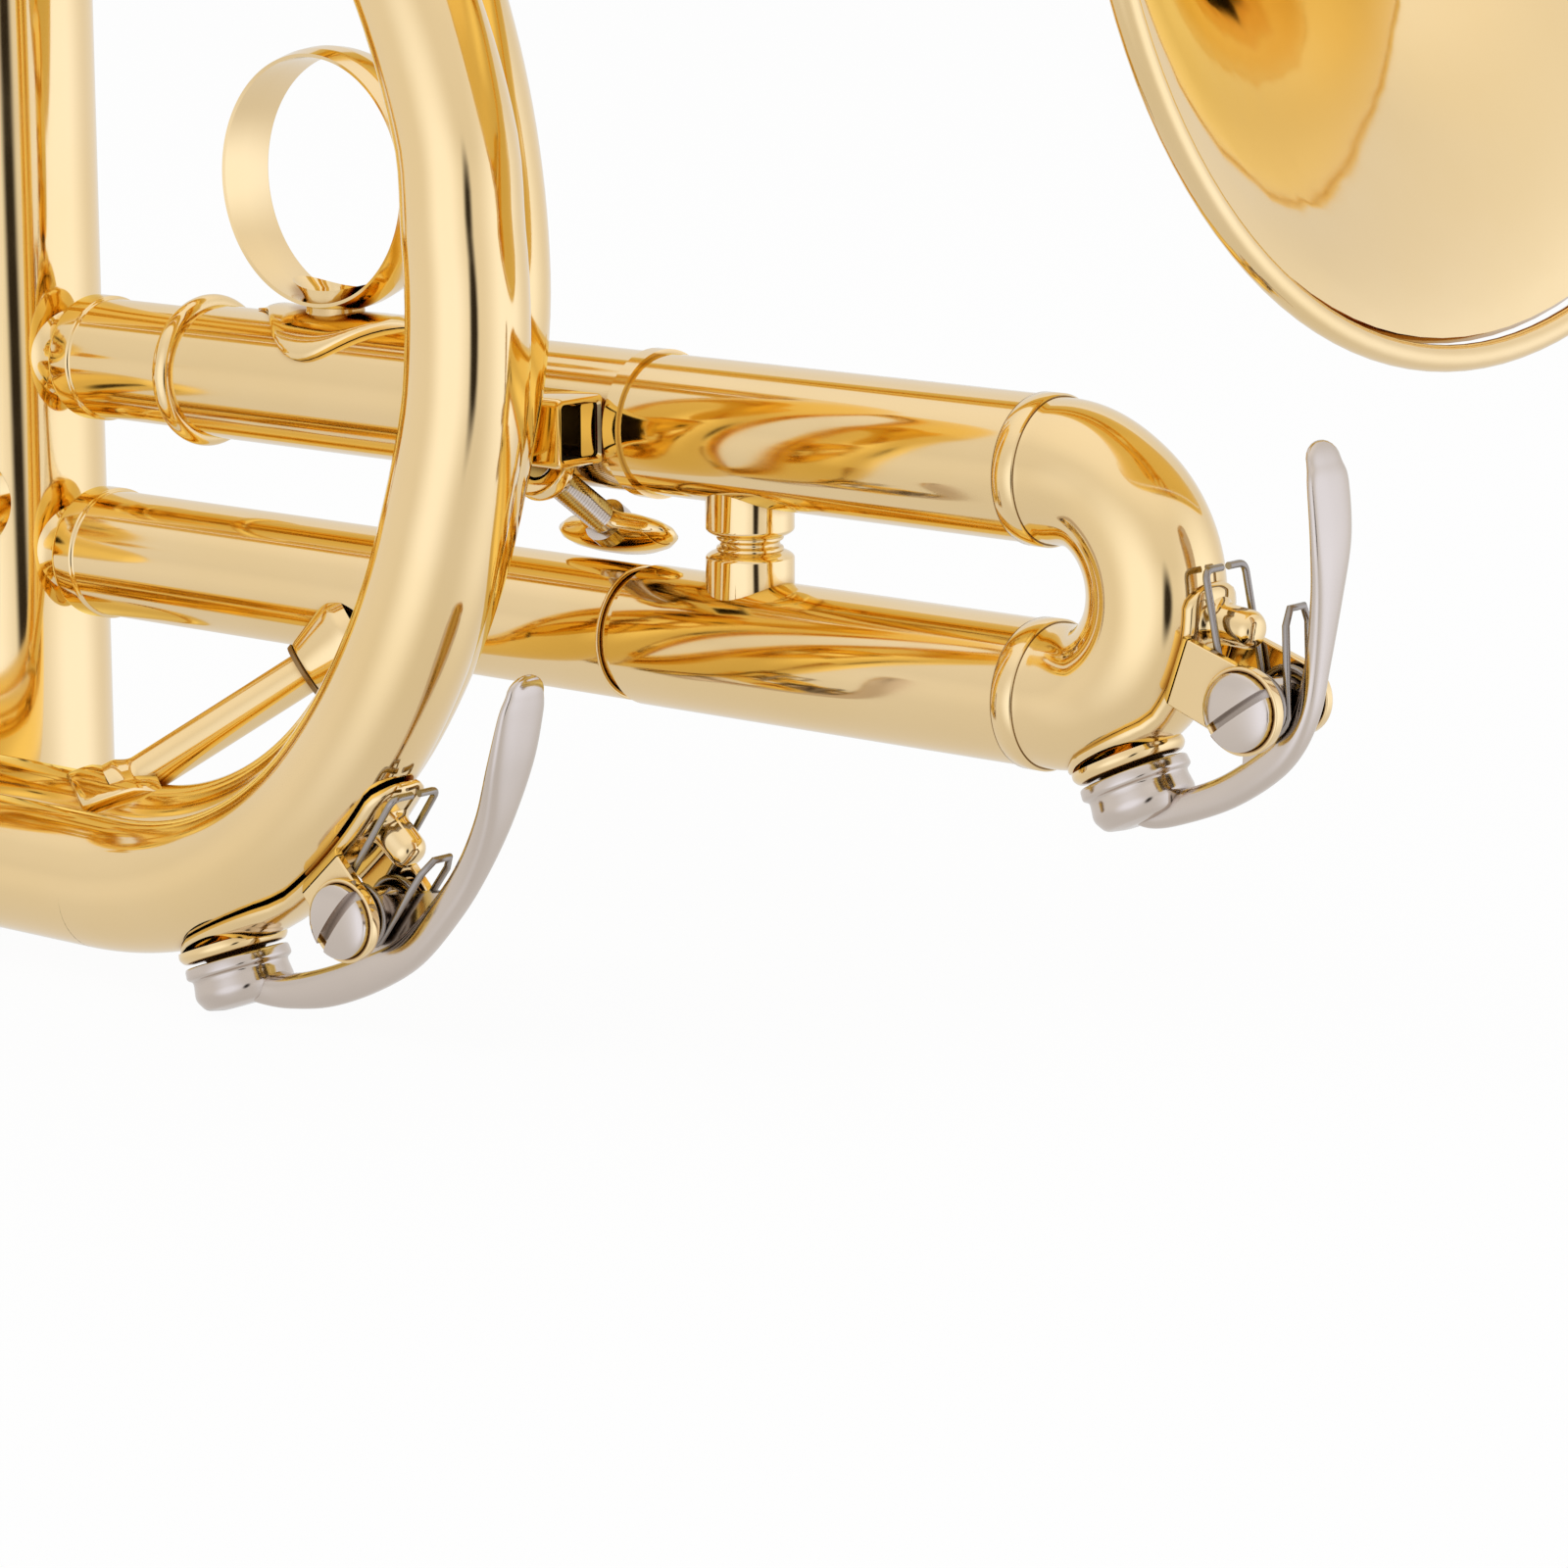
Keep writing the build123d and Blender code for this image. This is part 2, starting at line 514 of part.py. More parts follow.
BRACE_TOP = Vector(BOW_2_X + 10.8, VALVE_Y - 8.0, THIRD_LOWER_Z - 7.6)
BRACE_FOOT = Vector(BOW_2_X - 1.2, BOW_2_Y, BOW_2_LOW + 5.7)
BRACE_WAY = (BRACE_FOOT - BRACE_TOP).normalized()
with BuildPart() as side_brace:
    rod(BRACE_TOP, BRACE_WAY, (BRACE_FOOT - BRACE_TOP).length, 2.1)
    cone(BRACE_TOP - BRACE_WAY * 7, BRACE_WAY, 8, 4.2, 2.9)
    with BuildSketch(Plane(origin=BRACE_TOP - BRACE_WAY * 5.6, z_dir=BRACE_WAY)):
        Circle(4.1)
    extrude(amount=1.2)
    with BuildSketch(Plane(origin=(BRACE_FOOT.X - 0.5, BRACE_FOOT.Y, BOW_2_LOW), z_dir=UP)):
        with BuildLine():
            Polyline((-6.5, 0), (0, -4.2), (6.5, 0), (0, 4.2), close=True)
        make_face()
    extrude(amount=BOW_2_R + 0.9)
    rod(Vector(VALVE_3_X, VALVE_Y, THIRD_LOWER_Z), FRONT, 90, LOWER_R + SOLDER, Mode.SUBTRACT)
    rod(Vector(valve_x(2), BOW_2_Y, BOW_2_LOW), FRONT, BOW_2_X - valve_x(2), BOW_2_R + SOLDER, Mode.SUBTRACT)
    corner = Vector(BOW_2_X, BOW_2_Y, BOW_2_LOW + BOW_CORNER_R)
    with BuildSketch(Plane(origin=(BOW_2_X, BOW_2_Y, BOW_2_LOW), z_dir=FRONT)):
        Circle(BOW_2_R + SOLDER)
    revolve(axis=Axis(corner, -LEFT), revolution_arc=25, mode=Mode.SUBTRACT)
save(side_brace, "side_brace")

# ---------------------------------------------------------------- third valve slide, moving half

with BuildPart() as third_sleeve_upper:
    inner = SLEEVE_R - WALL
    with BuildSketch(Plane(origin=(0, VALVE_Y, THIRD_UPPER_Z), x_dir=FRONT, z_dir=-LEFT)):
        with Locations((BEAD_X, inner)):
            Rectangle(FERRULE_X - BEAD_X, WALL, align=(Align.MIN, Align.MIN))
        with Locations((LIP_X, SLEEVE_R - 0.2)):
            Rectangle(1.6, 0.6, align=(Align.MIN, Align.MIN))
        with Locations((BEAD_X + BEAD_R, SLEEVE_R - 0.1)):
            Circle(BEAD_R)
        with Locations((BEAD_X - 1, inner)):
            Rectangle(6, 3, align=(Align.MIN, Align.MAX), mode=Mode.SUBTRACT)
    revolve(axis=Axis((0, VALVE_Y, THIRD_UPPER_Z), FRONT))
save(third_sleeve_upper, "third_sleeve_upper")

with BuildPart() as third_inner_lower:
    inner_r = LOWER_BORE - SLIDE_FIT
    inner_start = Vector(VALVE_3_X + 18, VALVE_Y, THIRD_LOWER_Z)
    pipe(inner_start, FRONT, FERRULE_X - inner_start.X, inner_r, inner_r - WALL)
save(third_inner_lower, "third_inner_lower")

with BuildPart() as third_sleeve_lower:
    pipe(Vector(LIP_X, VALVE_Y, THIRD_LOWER_Z), FRONT, FERRULE_X - LIP_X, SLEEVE_R, inner_r + SOLDER)
save(third_sleeve_lower, "third_sleeve_lower")

with BuildPart() as third_bow:
    inner = BOW_3_R - WALL
    for z in (THIRD_UPPER_Z, THIRD_LOWER_Z):
        pipe(Vector(FERRULE_X + SOLDER, VALVE_Y, z), FRONT, BOW_3_X - FERRULE_X - SOLDER, BOW_3_R, inner)
        pipe(Vector(FERRULE_X + SOLDER, VALVE_Y, z), FRONT, 2.1, SLEEVE_R + 0.3, BOW_3_R - 0.1)
    top = Vector(BOW_3_X, VALVE_Y, THIRD_UPPER_Z)
    bend(top, FRONT, top - UP * THIRD_PITCH / 2, 180, BOW_3_R, inner)
save(third_bow, "third_bow")

SPOOL = Vector(LIP_X + 12.0, VALVE_Y, 0)
with BuildPart() as third_spool:
    low = THIRD_LOWER_Z + SLEEVE_R - 1.5
    high = THIRD_UPPER_Z - SLEEVE_R + 1.5
    mid = (low + high) / 2
    rod(Vector(SPOOL.X, SPOOL.Y, low), UP, high - low, 2.6)
    for z, tall in ((low, 3.9), (high - 3.9, 3.9)):
        rod(Vector(SPOOL.X, SPOOL.Y, z), UP, tall, 4.15)
    for z in (mid - 0.9, mid + 0.3):
        rod(Vector(SPOOL.X, SPOOL.Y, z), UP, 0.6, 2.95)
    for z in (THIRD_UPPER_Z, THIRD_LOWER_Z):
        rod(Vector(SPOOL.X - 8, SPOOL.Y, z), FRONT, 16, SLEEVE_R + SOLDER, Mode.SUBTRACT)
save(third_spool, "third_brace_spool")

SADDLE = 0.8
RING_Z = THIRD_UPPER_Z + SLEEVE_R + SOLDER + SADDLE + RING_R - 0.25
with BuildPart() as finger_ring:
    with BuildSketch(Plane(origin=(RING_X - 20, VALVE_Y, THIRD_UPPER_Z), z_dir=FRONT)):
        Circle(SLEEVE_R + SOLDER + SADDLE)
        Circle(SLEEVE_R + SOLDER, mode=Mode.SUBTRACT)
    extrude(amount=40)
    with BuildSketch(Plane.XY.offset(THIRD_UPPER_Z + 1.5)):
        with Locations((RING_X, VALVE_Y)):
            Ellipse(12.2, 6.4)
    extrude(amount=12, mode=Mode.INTERSECT)
    with BuildSketch(Plane(origin=(RING_X, VALVE_Y, RING_Z), x_dir=FRONT, z_dir=LEFT)):
        Circle(RING_R)
        Circle(RING_R - RING_BAND, mode=Mode.SUBTRACT)
    extrude(amount=RING_WIDTH / 2, both=True)
    with BuildSketch(Plane.XY.offset(THIRD_UPPER_Z + SLEEVE_R - 0.6)):
        with Locations((RING_X, VALVE_Y)):
            Rectangle(8.5, RING_WIDTH - 1)
    extrude(amount=1.9)
    rod(Vector(RING_X - 20, VALVE_Y, THIRD_UPPER_Z), FRONT, 40, SLEEVE_R + SOLDER, Mode.SUBTRACT)
save(finger_ring, "finger_ring")

# Lyre holder: a square socket on the right of the upper sleeve, clamped by a thumb screw
LYRE_X = 239.4
LYRE_LENGTH = 10.0
LYRE_HOLE = 5.0
LYRE_Y = VALVE_Y - 9.7
LYRE_Z = THIRD_UPPER_Z + 0.2
SCREW_WAY = Vector(0, 0.82, -0.57).normalized()
SCREW_START = Vector(LYRE_X + 5, LYRE_Y, LYRE_Z - 3.8)
with BuildPart() as lyre_holder:
    with BuildSketch(Plane(origin=(LYRE_X, LYRE_Y, LYRE_Z), x_dir=LEFT, z_dir=FRONT)):
        Rectangle(7.4, 7.4)
    extrude(amount=LYRE_LENGTH)
    with BuildSketch(Plane(origin=(LYRE_X, LYRE_Y, LYRE_Z), x_dir=LEFT, z_dir=FRONT)):
        with Locations((3.6, 0)):
            Rectangle(4.0, 6.6)
    extrude(amount=LYRE_LENGTH)
    rod(SCREW_START - SCREW_WAY * 0.6, SCREW_WAY, 2.6, 2.9)
    with BuildSketch(Plane(origin=(LYRE_X, LYRE_Y, LYRE_Z), x_dir=LEFT, z_dir=FRONT)):
        Rectangle(LYRE_HOLE, LYRE_HOLE)
    extrude(amount=LYRE_LENGTH, mode=Mode.SUBTRACT)
    rod(Vector(LYRE_X - 5, VALVE_Y, THIRD_UPPER_Z), FRONT, 25, SLEEVE_R + SOLDER, Mode.SUBTRACT)
    rod(SCREW_START - SCREW_WAY * 3, SCREW_WAY, 12, 1.55, Mode.SUBTRACT)
save(lyre_holder, "lyre_holder")

with BuildPart() as lyre_screw:
    rod(SCREW_START - SCREW_WAY * 0.5, SCREW_WAY, 12.3, 1.5)
    rod(SCREW_START + SCREW_WAY * 10.6, SCREW_WAY, 1.6, 2.3)
    wing_plane = Plane(origin=SCREW_START + SCREW_WAY * 12.6, x_dir=FRONT, z_dir=FRONT.cross(SCREW_WAY))
    with BuildSketch(wing_plane):
        with Locations((-0.6, 1.9)):
            Ellipse(6.3, 3.0)
        with Locations((0, -0.4)):
            Rectangle(4.0, 1.6)
    extrude(amount=0.9, both=True)
save(lyre_screw, "lyre_screw")

# ---------------------------------------------------------------- first and second slides

with BuildPart() as small_outer_tubes:
    for z in (THIRD_UPPER_Z, THIRD_LOWER_Z):
        pipe(Vector(valve_x(1), VALVE_Y, z), -FRONT, CASING_R + 28, TUBE_R, BORE_R)
    for z in (SECOND_UPPER_Z, SECOND_LOWER_Z):
        pipe(Vector(valve_x(2), VALVE_Y, z), -LEFT, CASING_R + 14, TUBE_R, BORE_R)
    for number in (1, 2):
        rod(Vector(valve_x(number), VALVE_Y, CASING_BOTTOM), UP, 100, CASING_R + SOLDER, Mode.SUBTRACT)
save(small_outer_tubes, "small_outer_tubes")


def small_slide(start_mid, way, length, across):
    """Two inner tubes with ferrules, running from the mouths of the outer tubes to the bow."""
    inner_r = BORE_R - SLIDE_FIT
    for side in (-0.5, 0.5):
        leg = start_mid + across * THIRD_PITCH * side
        pipe(leg - way * (length - 2), way, 2 * length - 2, inner_r, inner_r - WALL)
        pipe(leg + way * 0.4, way, length - 0.4, TUBE_R, inner_r - 0.1)
        pipe(leg + way * (length - 2.4), way, 2.4, TUBE_R + 0.4, TUBE_R - 0.1)


FIRST_MOUTH = Vector(valve_x(1) - CASING_R - 28, VALVE_Y, (THIRD_UPPER_Z + THIRD_LOWER_Z) / 2)
SECOND_MOUTH = Vector(valve_x(2), VALVE_Y - CASING_R - 14, (SECOND_UPPER_Z + SECOND_LOWER_Z) / 2)

with BuildPart() as first_slide_tubes:
    small_slide(FIRST_MOUTH, -FRONT, FIRST_REACH, UP)
save(first_slide_tubes, "first_slide_tubes")

with BuildPart() as first_bow:
    end = FIRST_MOUTH - FRONT * (FIRST_REACH + SOLDER) + UP * THIRD_PITCH / 2
    bend(end, -FRONT, end - UP * THIRD_PITCH / 2, 180, BOW_3_R, BORE_R - 0.2)
save(first_bow, "first_bow")

with BuildPart() as thumb_saddle:
    saddle_x = FIRST_MOUTH.X - 12
    with BuildSketch(Plane(origin=(saddle_x, VALVE_Y, THIRD_UPPER_Z), z_dir=-FRONT)):
        Circle(TUBE_R + SOLDER + 0.9)
        Circle(TUBE_R + SOLDER, mode=Mode.SUBTRACT)
        with Locations((0, -8)):
            Rectangle(20, 15, mode=Mode.SUBTRACT)
    extrude(amount=8, both=True)
    with BuildSketch(Plane(origin=(saddle_x, VALVE_Y, 0), x_dir=FRONT, z_dir=LEFT)):
        with BuildLine():
            base = -(THIRD_UPPER_Z + TUBE_R + 0.5)
            Polyline(
                (-3, base),
                (-9, base - 10),
                (-7.8, base - 10.6),
                (-2.4, base - 1.3),
                (2.4, base - 1.3),
                (7.8, base - 10.6),
                (9, base - 10),
                (3, base),
                close=True,
            )
        make_face()
    extrude(amount=6, both=True)
save(thumb_saddle, "thumb_saddle")

with BuildPart() as second_slide_tubes:
    small_slide(SECOND_MOUTH, -LEFT, SECOND_REACH, UP)
save(second_slide_tubes, "second_slide_tubes")

with BuildPart() as second_bow_knob:
    end = SECOND_MOUTH - LEFT * (SECOND_REACH + SOLDER) + UP * THIRD_PITCH / 2
    bend(end, -LEFT, end - UP * THIRD_PITCH / 2, 180, BOW_3_R, BORE_R - 0.2)
    knob = end - UP * THIRD_PITCH / 2 - LEFT * (THIRD_PITCH / 2 + BOW_3_R - 0.3)
    rod(knob, -LEFT, 3.6, 1.6)
    rod(knob - LEFT * 3.2, -LEFT, 2.4, 3.4)
save(second_bow_knob, "second_slide_bow")

# ---------------------------------------------------------------- braces and hook

with BuildPart() as bell_braces:
    for x in (valve_x(1), valve_x(3)):
        z = CASING_TOP - CAP_LIP - 9
        start = Vector(x, VALVE_Y + CASING_R - 1.5, z)
        way = (Vector(x, BELL_Y, BELL_Z) - start).normalized()
        rod(start, way, (Vector(x, BELL_Y, BELL_Z) - start).length, 2.2)
        rod(start, way, 3.6, 4.6)
        rod(Vector(x, BELL_Y, BELL_Z) - way * 12, way, 12, 4.6)
        rod(Vector(x, VALVE_Y, CASING_BOTTOM), UP, 160, CASING_R + SOLDER, Mode.SUBTRACT)
    with BuildSketch(Plane(origin=(0, BELL_Y, BELL_Z), x_dir=FRONT, z_dir=-LEFT)):
        with BuildLine():
            outer = [(BELL_START_X + s * BELL_LENGTH, r + SOLDER) for s, r in FLARE]
            Spline(*outer, tangents=((1, 0.02), (0.25, 1)))
            Polyline(outer[-1], (outer[-1][0], 0), (outer[0][0], 0), outer[0])
        make_face()
    revolve(axis=Axis((0, BELL_Y, BELL_Z), FRONT), mode=Mode.SUBTRACT)
save(bell_braces, "bell_braces")

HOOK_X = 168.0
with BuildPart() as finger_hook:
    with BuildSketch(Plane(origin=(HOOK_X, 0, 0), x_dir=FRONT, z_dir=-LEFT)):
        with Locations((0, LEAD_END_R + 12)):
            Circle(11)
            Circle(9.4, mode=Mode.SUBTRACT)
        with Locations((-8, LEAD_END_R + 18)):
            Rectangle(16, 22, mode=Mode.SUBTRACT)
        with Locations((-3, LEAD_END_R + 0.9)):
            Rectangle(14, 1.8)
    extrude(amount=3.6, both=True)
    rod(Vector(HOOK_X - 20, 0, 0), FRONT, 40, LEAD_END_R + SOLDER, Mode.SUBTRACT)
save(finger_hook, "finger_hook")

# ---------------------------------------------------------------- water keys

KEY_EAR = 1.0             # thickness of a bracket ear
KEY_EAR_Y = 3.3           # inner face of an ear from the middle
KEY_PIVOT_R = 1.2
KEY_FIT = 0.05            # running clearance of a lever on its screw, radial
NIPPLE_RISE = 1.7
PAD_GAP = 0.1


class Key:
    """Positions of one water key on a bend of tube."""

    def __init__(self, centre, bend_r, tube_r, nipple, pivot, rise, post):
        self.centre = centre          # centre of the bend
        self.bend_r = bend_r
        self.tube_r = tube_r
        self.nipple = nipple          # angle of the nipple round the bend
        self.pivot = pivot            # angle of the pivot screw round the bend
        self.post = post              # angle of the spring post round the bend
        self.out = Vector(cos(radians(nipple)), 0, sin(radians(nipple)))
        self.seat = centre + self.out * (bend_r + tube_r)
        stand = Vector(cos(radians(pivot)), 0, sin(radians(pivot)))
        self.pin = centre + stand * (bend_r + tube_r + rise)

    def shape(self, cup, arm, hook, leg):
        """Outer edge of the lever as (x, z, depth), and the ends of the spring, from the pivot."""
        way = self.seat - self.pin
        side = way.cross(LEFT).normalized()
        self.lever = []
        for along, off, depth in cup:
            spot = way * along + side * off
            self.lever.append((spot.X, spot.Z, depth))
        self.lever.extend(arm)
        self.hook = hook              # hooked ends over the post
        self.leg = leg                # bridged end behind the lever

    def at(self, x, z, y=0.0):
        """A point given from the pivot."""
        return self.pin + Vector(x, y, z)

    def ring(self, angle, radius):
        """A point at an angle round the bend, from the pivot, in the plane of the key."""
        spot = self.centre - self.pin
        return (spot.X + radius * cos(radians(angle)), spot.Z + radius * sin(radians(angle)))


BOW_1_CORNER = Vector(BOW_1_X, 0, BOW_1_END.Z + BOW_CORNER_R)
KEY_1 = Key(BOW_1_CORNER, BOW_CORNER_R, TUBE_R, -69.3, -47.19, 5.36, -39.5)
KEY_1.shape(
    ((0.946, 6.14, 2.6), (0.684, 7.22, 3.4), (0.429, 7.73, 3.8), (0.127, 7.16, 3.6)),
    (
        (4.9, -4.4, 3.1),
        (9.6, 0.4, 2.9),
        (12.9, 4.5, 2.7),
        (15.9, 10.5, 2.4),
        (17.9, 16.5, 1.9),
        (19.3, 24.2, 0.9),
    ),
    (4.8, 11.6),
    (8.0, 6.1),
)
BOW_3_CENTRE = Vector(BOW_3_X, VALVE_Y, THIRD_UPPER_Z - THIRD_PITCH / 2)
KEY_2 = Key(BOW_3_CENTRE, THIRD_PITCH / 2, BOW_3_R, -64.0, -19.19, 7.736, -5.0)
KEY_2.shape(
    ((1.028, 6.50, 2.5), (0.804, 7.28, 3.0), (0.460, 7.41, 3.0), (0.148, 6.54, 2.8)),
    (
        (2.9, -4.2, 2.4),
        (4.4, -0.6, 2.0),
        (5.2, 3.3, 1.7),
        (6.0, 9.5, 1.5),
        (6.3, 15.5, 1.4),
        (4.9, 23.6, 0.8),
    ),
    (-5.3, 12.2),
    (2.3, 8.7),
)
COIL_R = 2.8              # spring coil on the hub, to the middle of the wire
LEVER_HALF = 1.25         # half thickness of the lever's bar
SPOON_HALF = 3.1
SPOON_BELLY = 8.0         # widest place of the spoon, below its tip


def key_tube(key, low, high, outer, mode, inner=0.0):
    """A length of the bend the key sits on, between two angles."""
    start = Vector(cos(radians(low)), 0, sin(radians(low))) * key.bend_r
    with BuildSketch(Plane(origin=key.centre + start, x_dir=start, z_dir=start.cross(LEFT))) as section:
        Circle(outer)
        if inner > 0:
            Circle(inner, mode=Mode.SUBTRACT)
    revolve(section.sketch, axis=Axis(key.centre, -LEFT), revolution_arc=high - low, mode=mode)


def key_plane(key, y=0.0):
    """A sketch plane along the key, X forward and Y up, from the pivot."""
    return Plane(origin=key.at(0, 0, y), x_dir=FRONT, z_dir=-LEFT)


def make_saddle(key):
    """Strap, nipple, spring post and the two ears that carry the pivot screw."""
    width = KEY_EAR_Y + KEY_EAR
    key_tube(key, key.nipple, key.post + 6, key.tube_r + 0.8, Mode.ADD, key.tube_r + SOLDER)
    with BuildSketch(Plane(origin=key.centre, x_dir=FRONT, z_dir=-LEFT)) as band:
        Circle(key.bend_r + key.tube_r + 2)
        Circle(key.bend_r + 0.5 * key.tube_r, mode=Mode.SUBTRACT)
    extrude(band.sketch, amount=width, both=True, mode=Mode.INTERSECT)
    spread = degrees(6.4 / (key.bend_r + key.tube_r))
    deep = key.bend_r + 0.5 * key.tube_r
    up = Vector(-sin(radians(key.pivot)), 0, cos(radians(key.pivot)))
    for y in (-KEY_EAR_Y, KEY_EAR_Y + KEY_EAR):
        with BuildSketch(key_plane(key, y)) as ear:
            with BuildLine():
                Polyline(
                    key.ring(key.pivot - spread, deep),
                    (-2.7 * up.X, -2.7 * up.Z),
                    (2.7 * up.X, 2.7 * up.Z),
                    key.ring(key.pivot + spread, deep),
                    close=True,
                )
            make_face()
            Circle(2.9)
        extrude(ear.sketch, amount=KEY_EAR)
    rod(key.at(0, 0, width - 0.2), LEFT, 1.5, 2.2)
    rod(key.seat - key.out * 1.5, key.out, NIPPLE_RISE + 1.5, 2.7)
    rod(key.seat - key.out * 2.4, key.out, 3.0, 4.7)
    post = Vector(cos(radians(key.post)), 0, sin(radians(key.post)))
    rod(key.centre + post * (key.bend_r + key.tube_r - 1), post, 3.4, 1.5)
    key_tube(key, key.nipple - 35, key.post + 30, key.tube_r + SOLDER, Mode.SUBTRACT)
    rod(key.seat - key.out * 4, key.out, 9, 1.1, Mode.SUBTRACT)
    rod(key.at(0, 0, -8), LEFT, 16, KEY_PIVOT_R + SOLDER, Mode.SUBTRACT)


def make_screw(key):
    """Pivot screw with its slotted head on the right."""
    face = KEY_EAR_Y + KEY_EAR + SOLDER
    rod(key.at(0, 0, -face), LEFT, 2 * face + 0.9, KEY_PIVOT_R)
    rod(key.at(0, 0, -face), -LEFT, 1.8, 3.6)
    with BuildSketch(key_plane(key, -face - 1.0)) as slot:
        Rectangle(8, 0.9, rotation=35)
    extrude(slot.sketch, amount=1.5, mode=Mode.SUBTRACT)


def make_lever(key):
    """Lever with its hub, cup and thumb spoon."""
    edge = [Vector(x, z) for x, z, depth in key.lever]
    back = []
    for index, (x, z, depth) in enumerate(key.lever):
        before = edge[max(index - 1, 0)]
        after = edge[min(index + 1, len(edge) - 1)]
        along = (after - before).normalized()
        back.append((x - along.Y * depth, z + along.X * depth))
    with BuildSketch(key_plane(key)) as profile:
        with BuildLine():
            Spline(*[(p.X, p.Y) for p in edge])
            Line((edge[-1].X, edge[-1].Y), back[-1])
            Spline(*back)
            Line(back[0], (edge[0].X, edge[0].Y))
        make_face()
    elbow = edge[5]
    waist = elbow.Y + 5
    tip = edge[-1].Y
    with BuildSketch(Plane(origin=key.at(-30, 0), x_dir=LEFT, z_dir=FRONT)) as plan:
        with BuildLine():
            Polyline((-LEVER_HALF, waist), (-LEVER_HALF, -40), (LEVER_HALF, -40), (LEVER_HALF, waist))
            Spline(
                (LEVER_HALF, waist),
                (SPOON_HALF, tip - SPOON_BELLY),
                (0, tip + 0.3),
                (-SPOON_HALF, tip - SPOON_BELLY),
                (-LEVER_HALF, waist),
                tangents=((0, 1), (0, -1)),
            )
        make_face()
    extrude(profile.sketch, amount=6, both=True)
    extrude(plan.sketch, amount=80, mode=Mode.INTERSECT)
    lean = edge[3] * 0.62
    with BuildSketch(key_plane(key)) as web:
        with BuildLine():
            Polyline(
                (-1.9, -1.2),
                (lean.X - 2.6, lean.Y - 0.6),
                (elbow.X - 1.0, elbow.Y - 1.6),
                (1.2, 1.9),
                close=True,
            )
        make_face()
        Circle(1.8, mode=Mode.SUBTRACT)
    extrude(web.sketch, amount=0.8, both=True)
    pipe(key.at(0, 0, -KEY_EAR_Y + 0.3), LEFT, 2 * KEY_EAR_Y - 0.6, 2.3, KEY_PIVOT_R + KEY_FIT)
    low = NIPPLE_RISE + PAD_GAP
    with BuildSketch(Plane(origin=key.seat, x_dir=LEFT, z_dir=LEFT.cross(key.out))) as cup:
        with BuildLine():
            Polyline(
                (0, low + 1.6),
                (4.1, low + 1.6),
                (4.1, low + 0.5),
                (5.1, low + 0.5),
                (5.1, low + 2.4),
                (4.4, low + 3.5),
                (2.4, low + 4.3),
                (0, low + 4.5),
                close=True,
            )
        make_face()
    revolve(cup.sketch, axis=Axis(key.seat, key.out))


def make_cork(key):
    """The sealing pad in the cup."""
    rod(key.seat + key.out * (NIPPLE_RISE + PAD_GAP), key.out, 1.6 - SOLDER, 4.1 - SOLDER)


def make_spring(key):
    """Wire spring: coils round the hub, two hooked legs on the strap and a bridged leg on the lever."""
    wire = 0.36
    hook = Vector(key.hook[0], 0, key.hook[1])
    leg = Vector(key.leg[0], 0, key.leg[1])
    for side in (-1, 1):
        near = min(1.35 * side, 2.98 * side)
        pipe(key.at(0, 0, near), LEFT, 1.63, COIL_R + 0.42, COIL_R - 0.42)
        root = hook.cross(LEFT).normalized() * COIL_R
        outer = Vector(0, 2.52 * side, 0)
        rod(key.pin + root + outer, hook - root, (hook - root).length, wire)
        rod(key.pin + hook + outer + LEFT * 0.44 * side, LEFT * -side, 2.0, wire * 1.08)
        root = leg.cross(LEFT).normalized() * -COIL_R
        outer = Vector(0, 1.82 * side, 0)
        rod(key.pin + root + outer, leg - root, (leg - root).length, wire)
    rod(key.pin + leg - LEFT * 2.3, LEFT, 4.6, wire * 1.08)


for number, key in ((1, KEY_1), (2, KEY_2)):
    with BuildPart() as saddle:
        make_saddle(key)
    save(saddle, f"water_key_saddle_{number}")

    with BuildPart() as pivot_screw:
        make_screw(key)
    save(pivot_screw, f"water_key_screw_{number}")

    with BuildPart() as lever:
        make_lever(key)
    save(lever, f"water_key_lever_{number}")

    with BuildPart() as cork:
        make_cork(key)
    save(cork, f"water_key_cork_{number}")

    with BuildPart() as key_spring:
        make_spring(key)
    save(key_spring, f"water_key_spring_{number}")
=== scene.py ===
import json
from dataclasses import dataclass
from math import atan2, cos, pi, radians, sin, sqrt

import bmesh
import bpy
from mathutils import Matrix, Vector


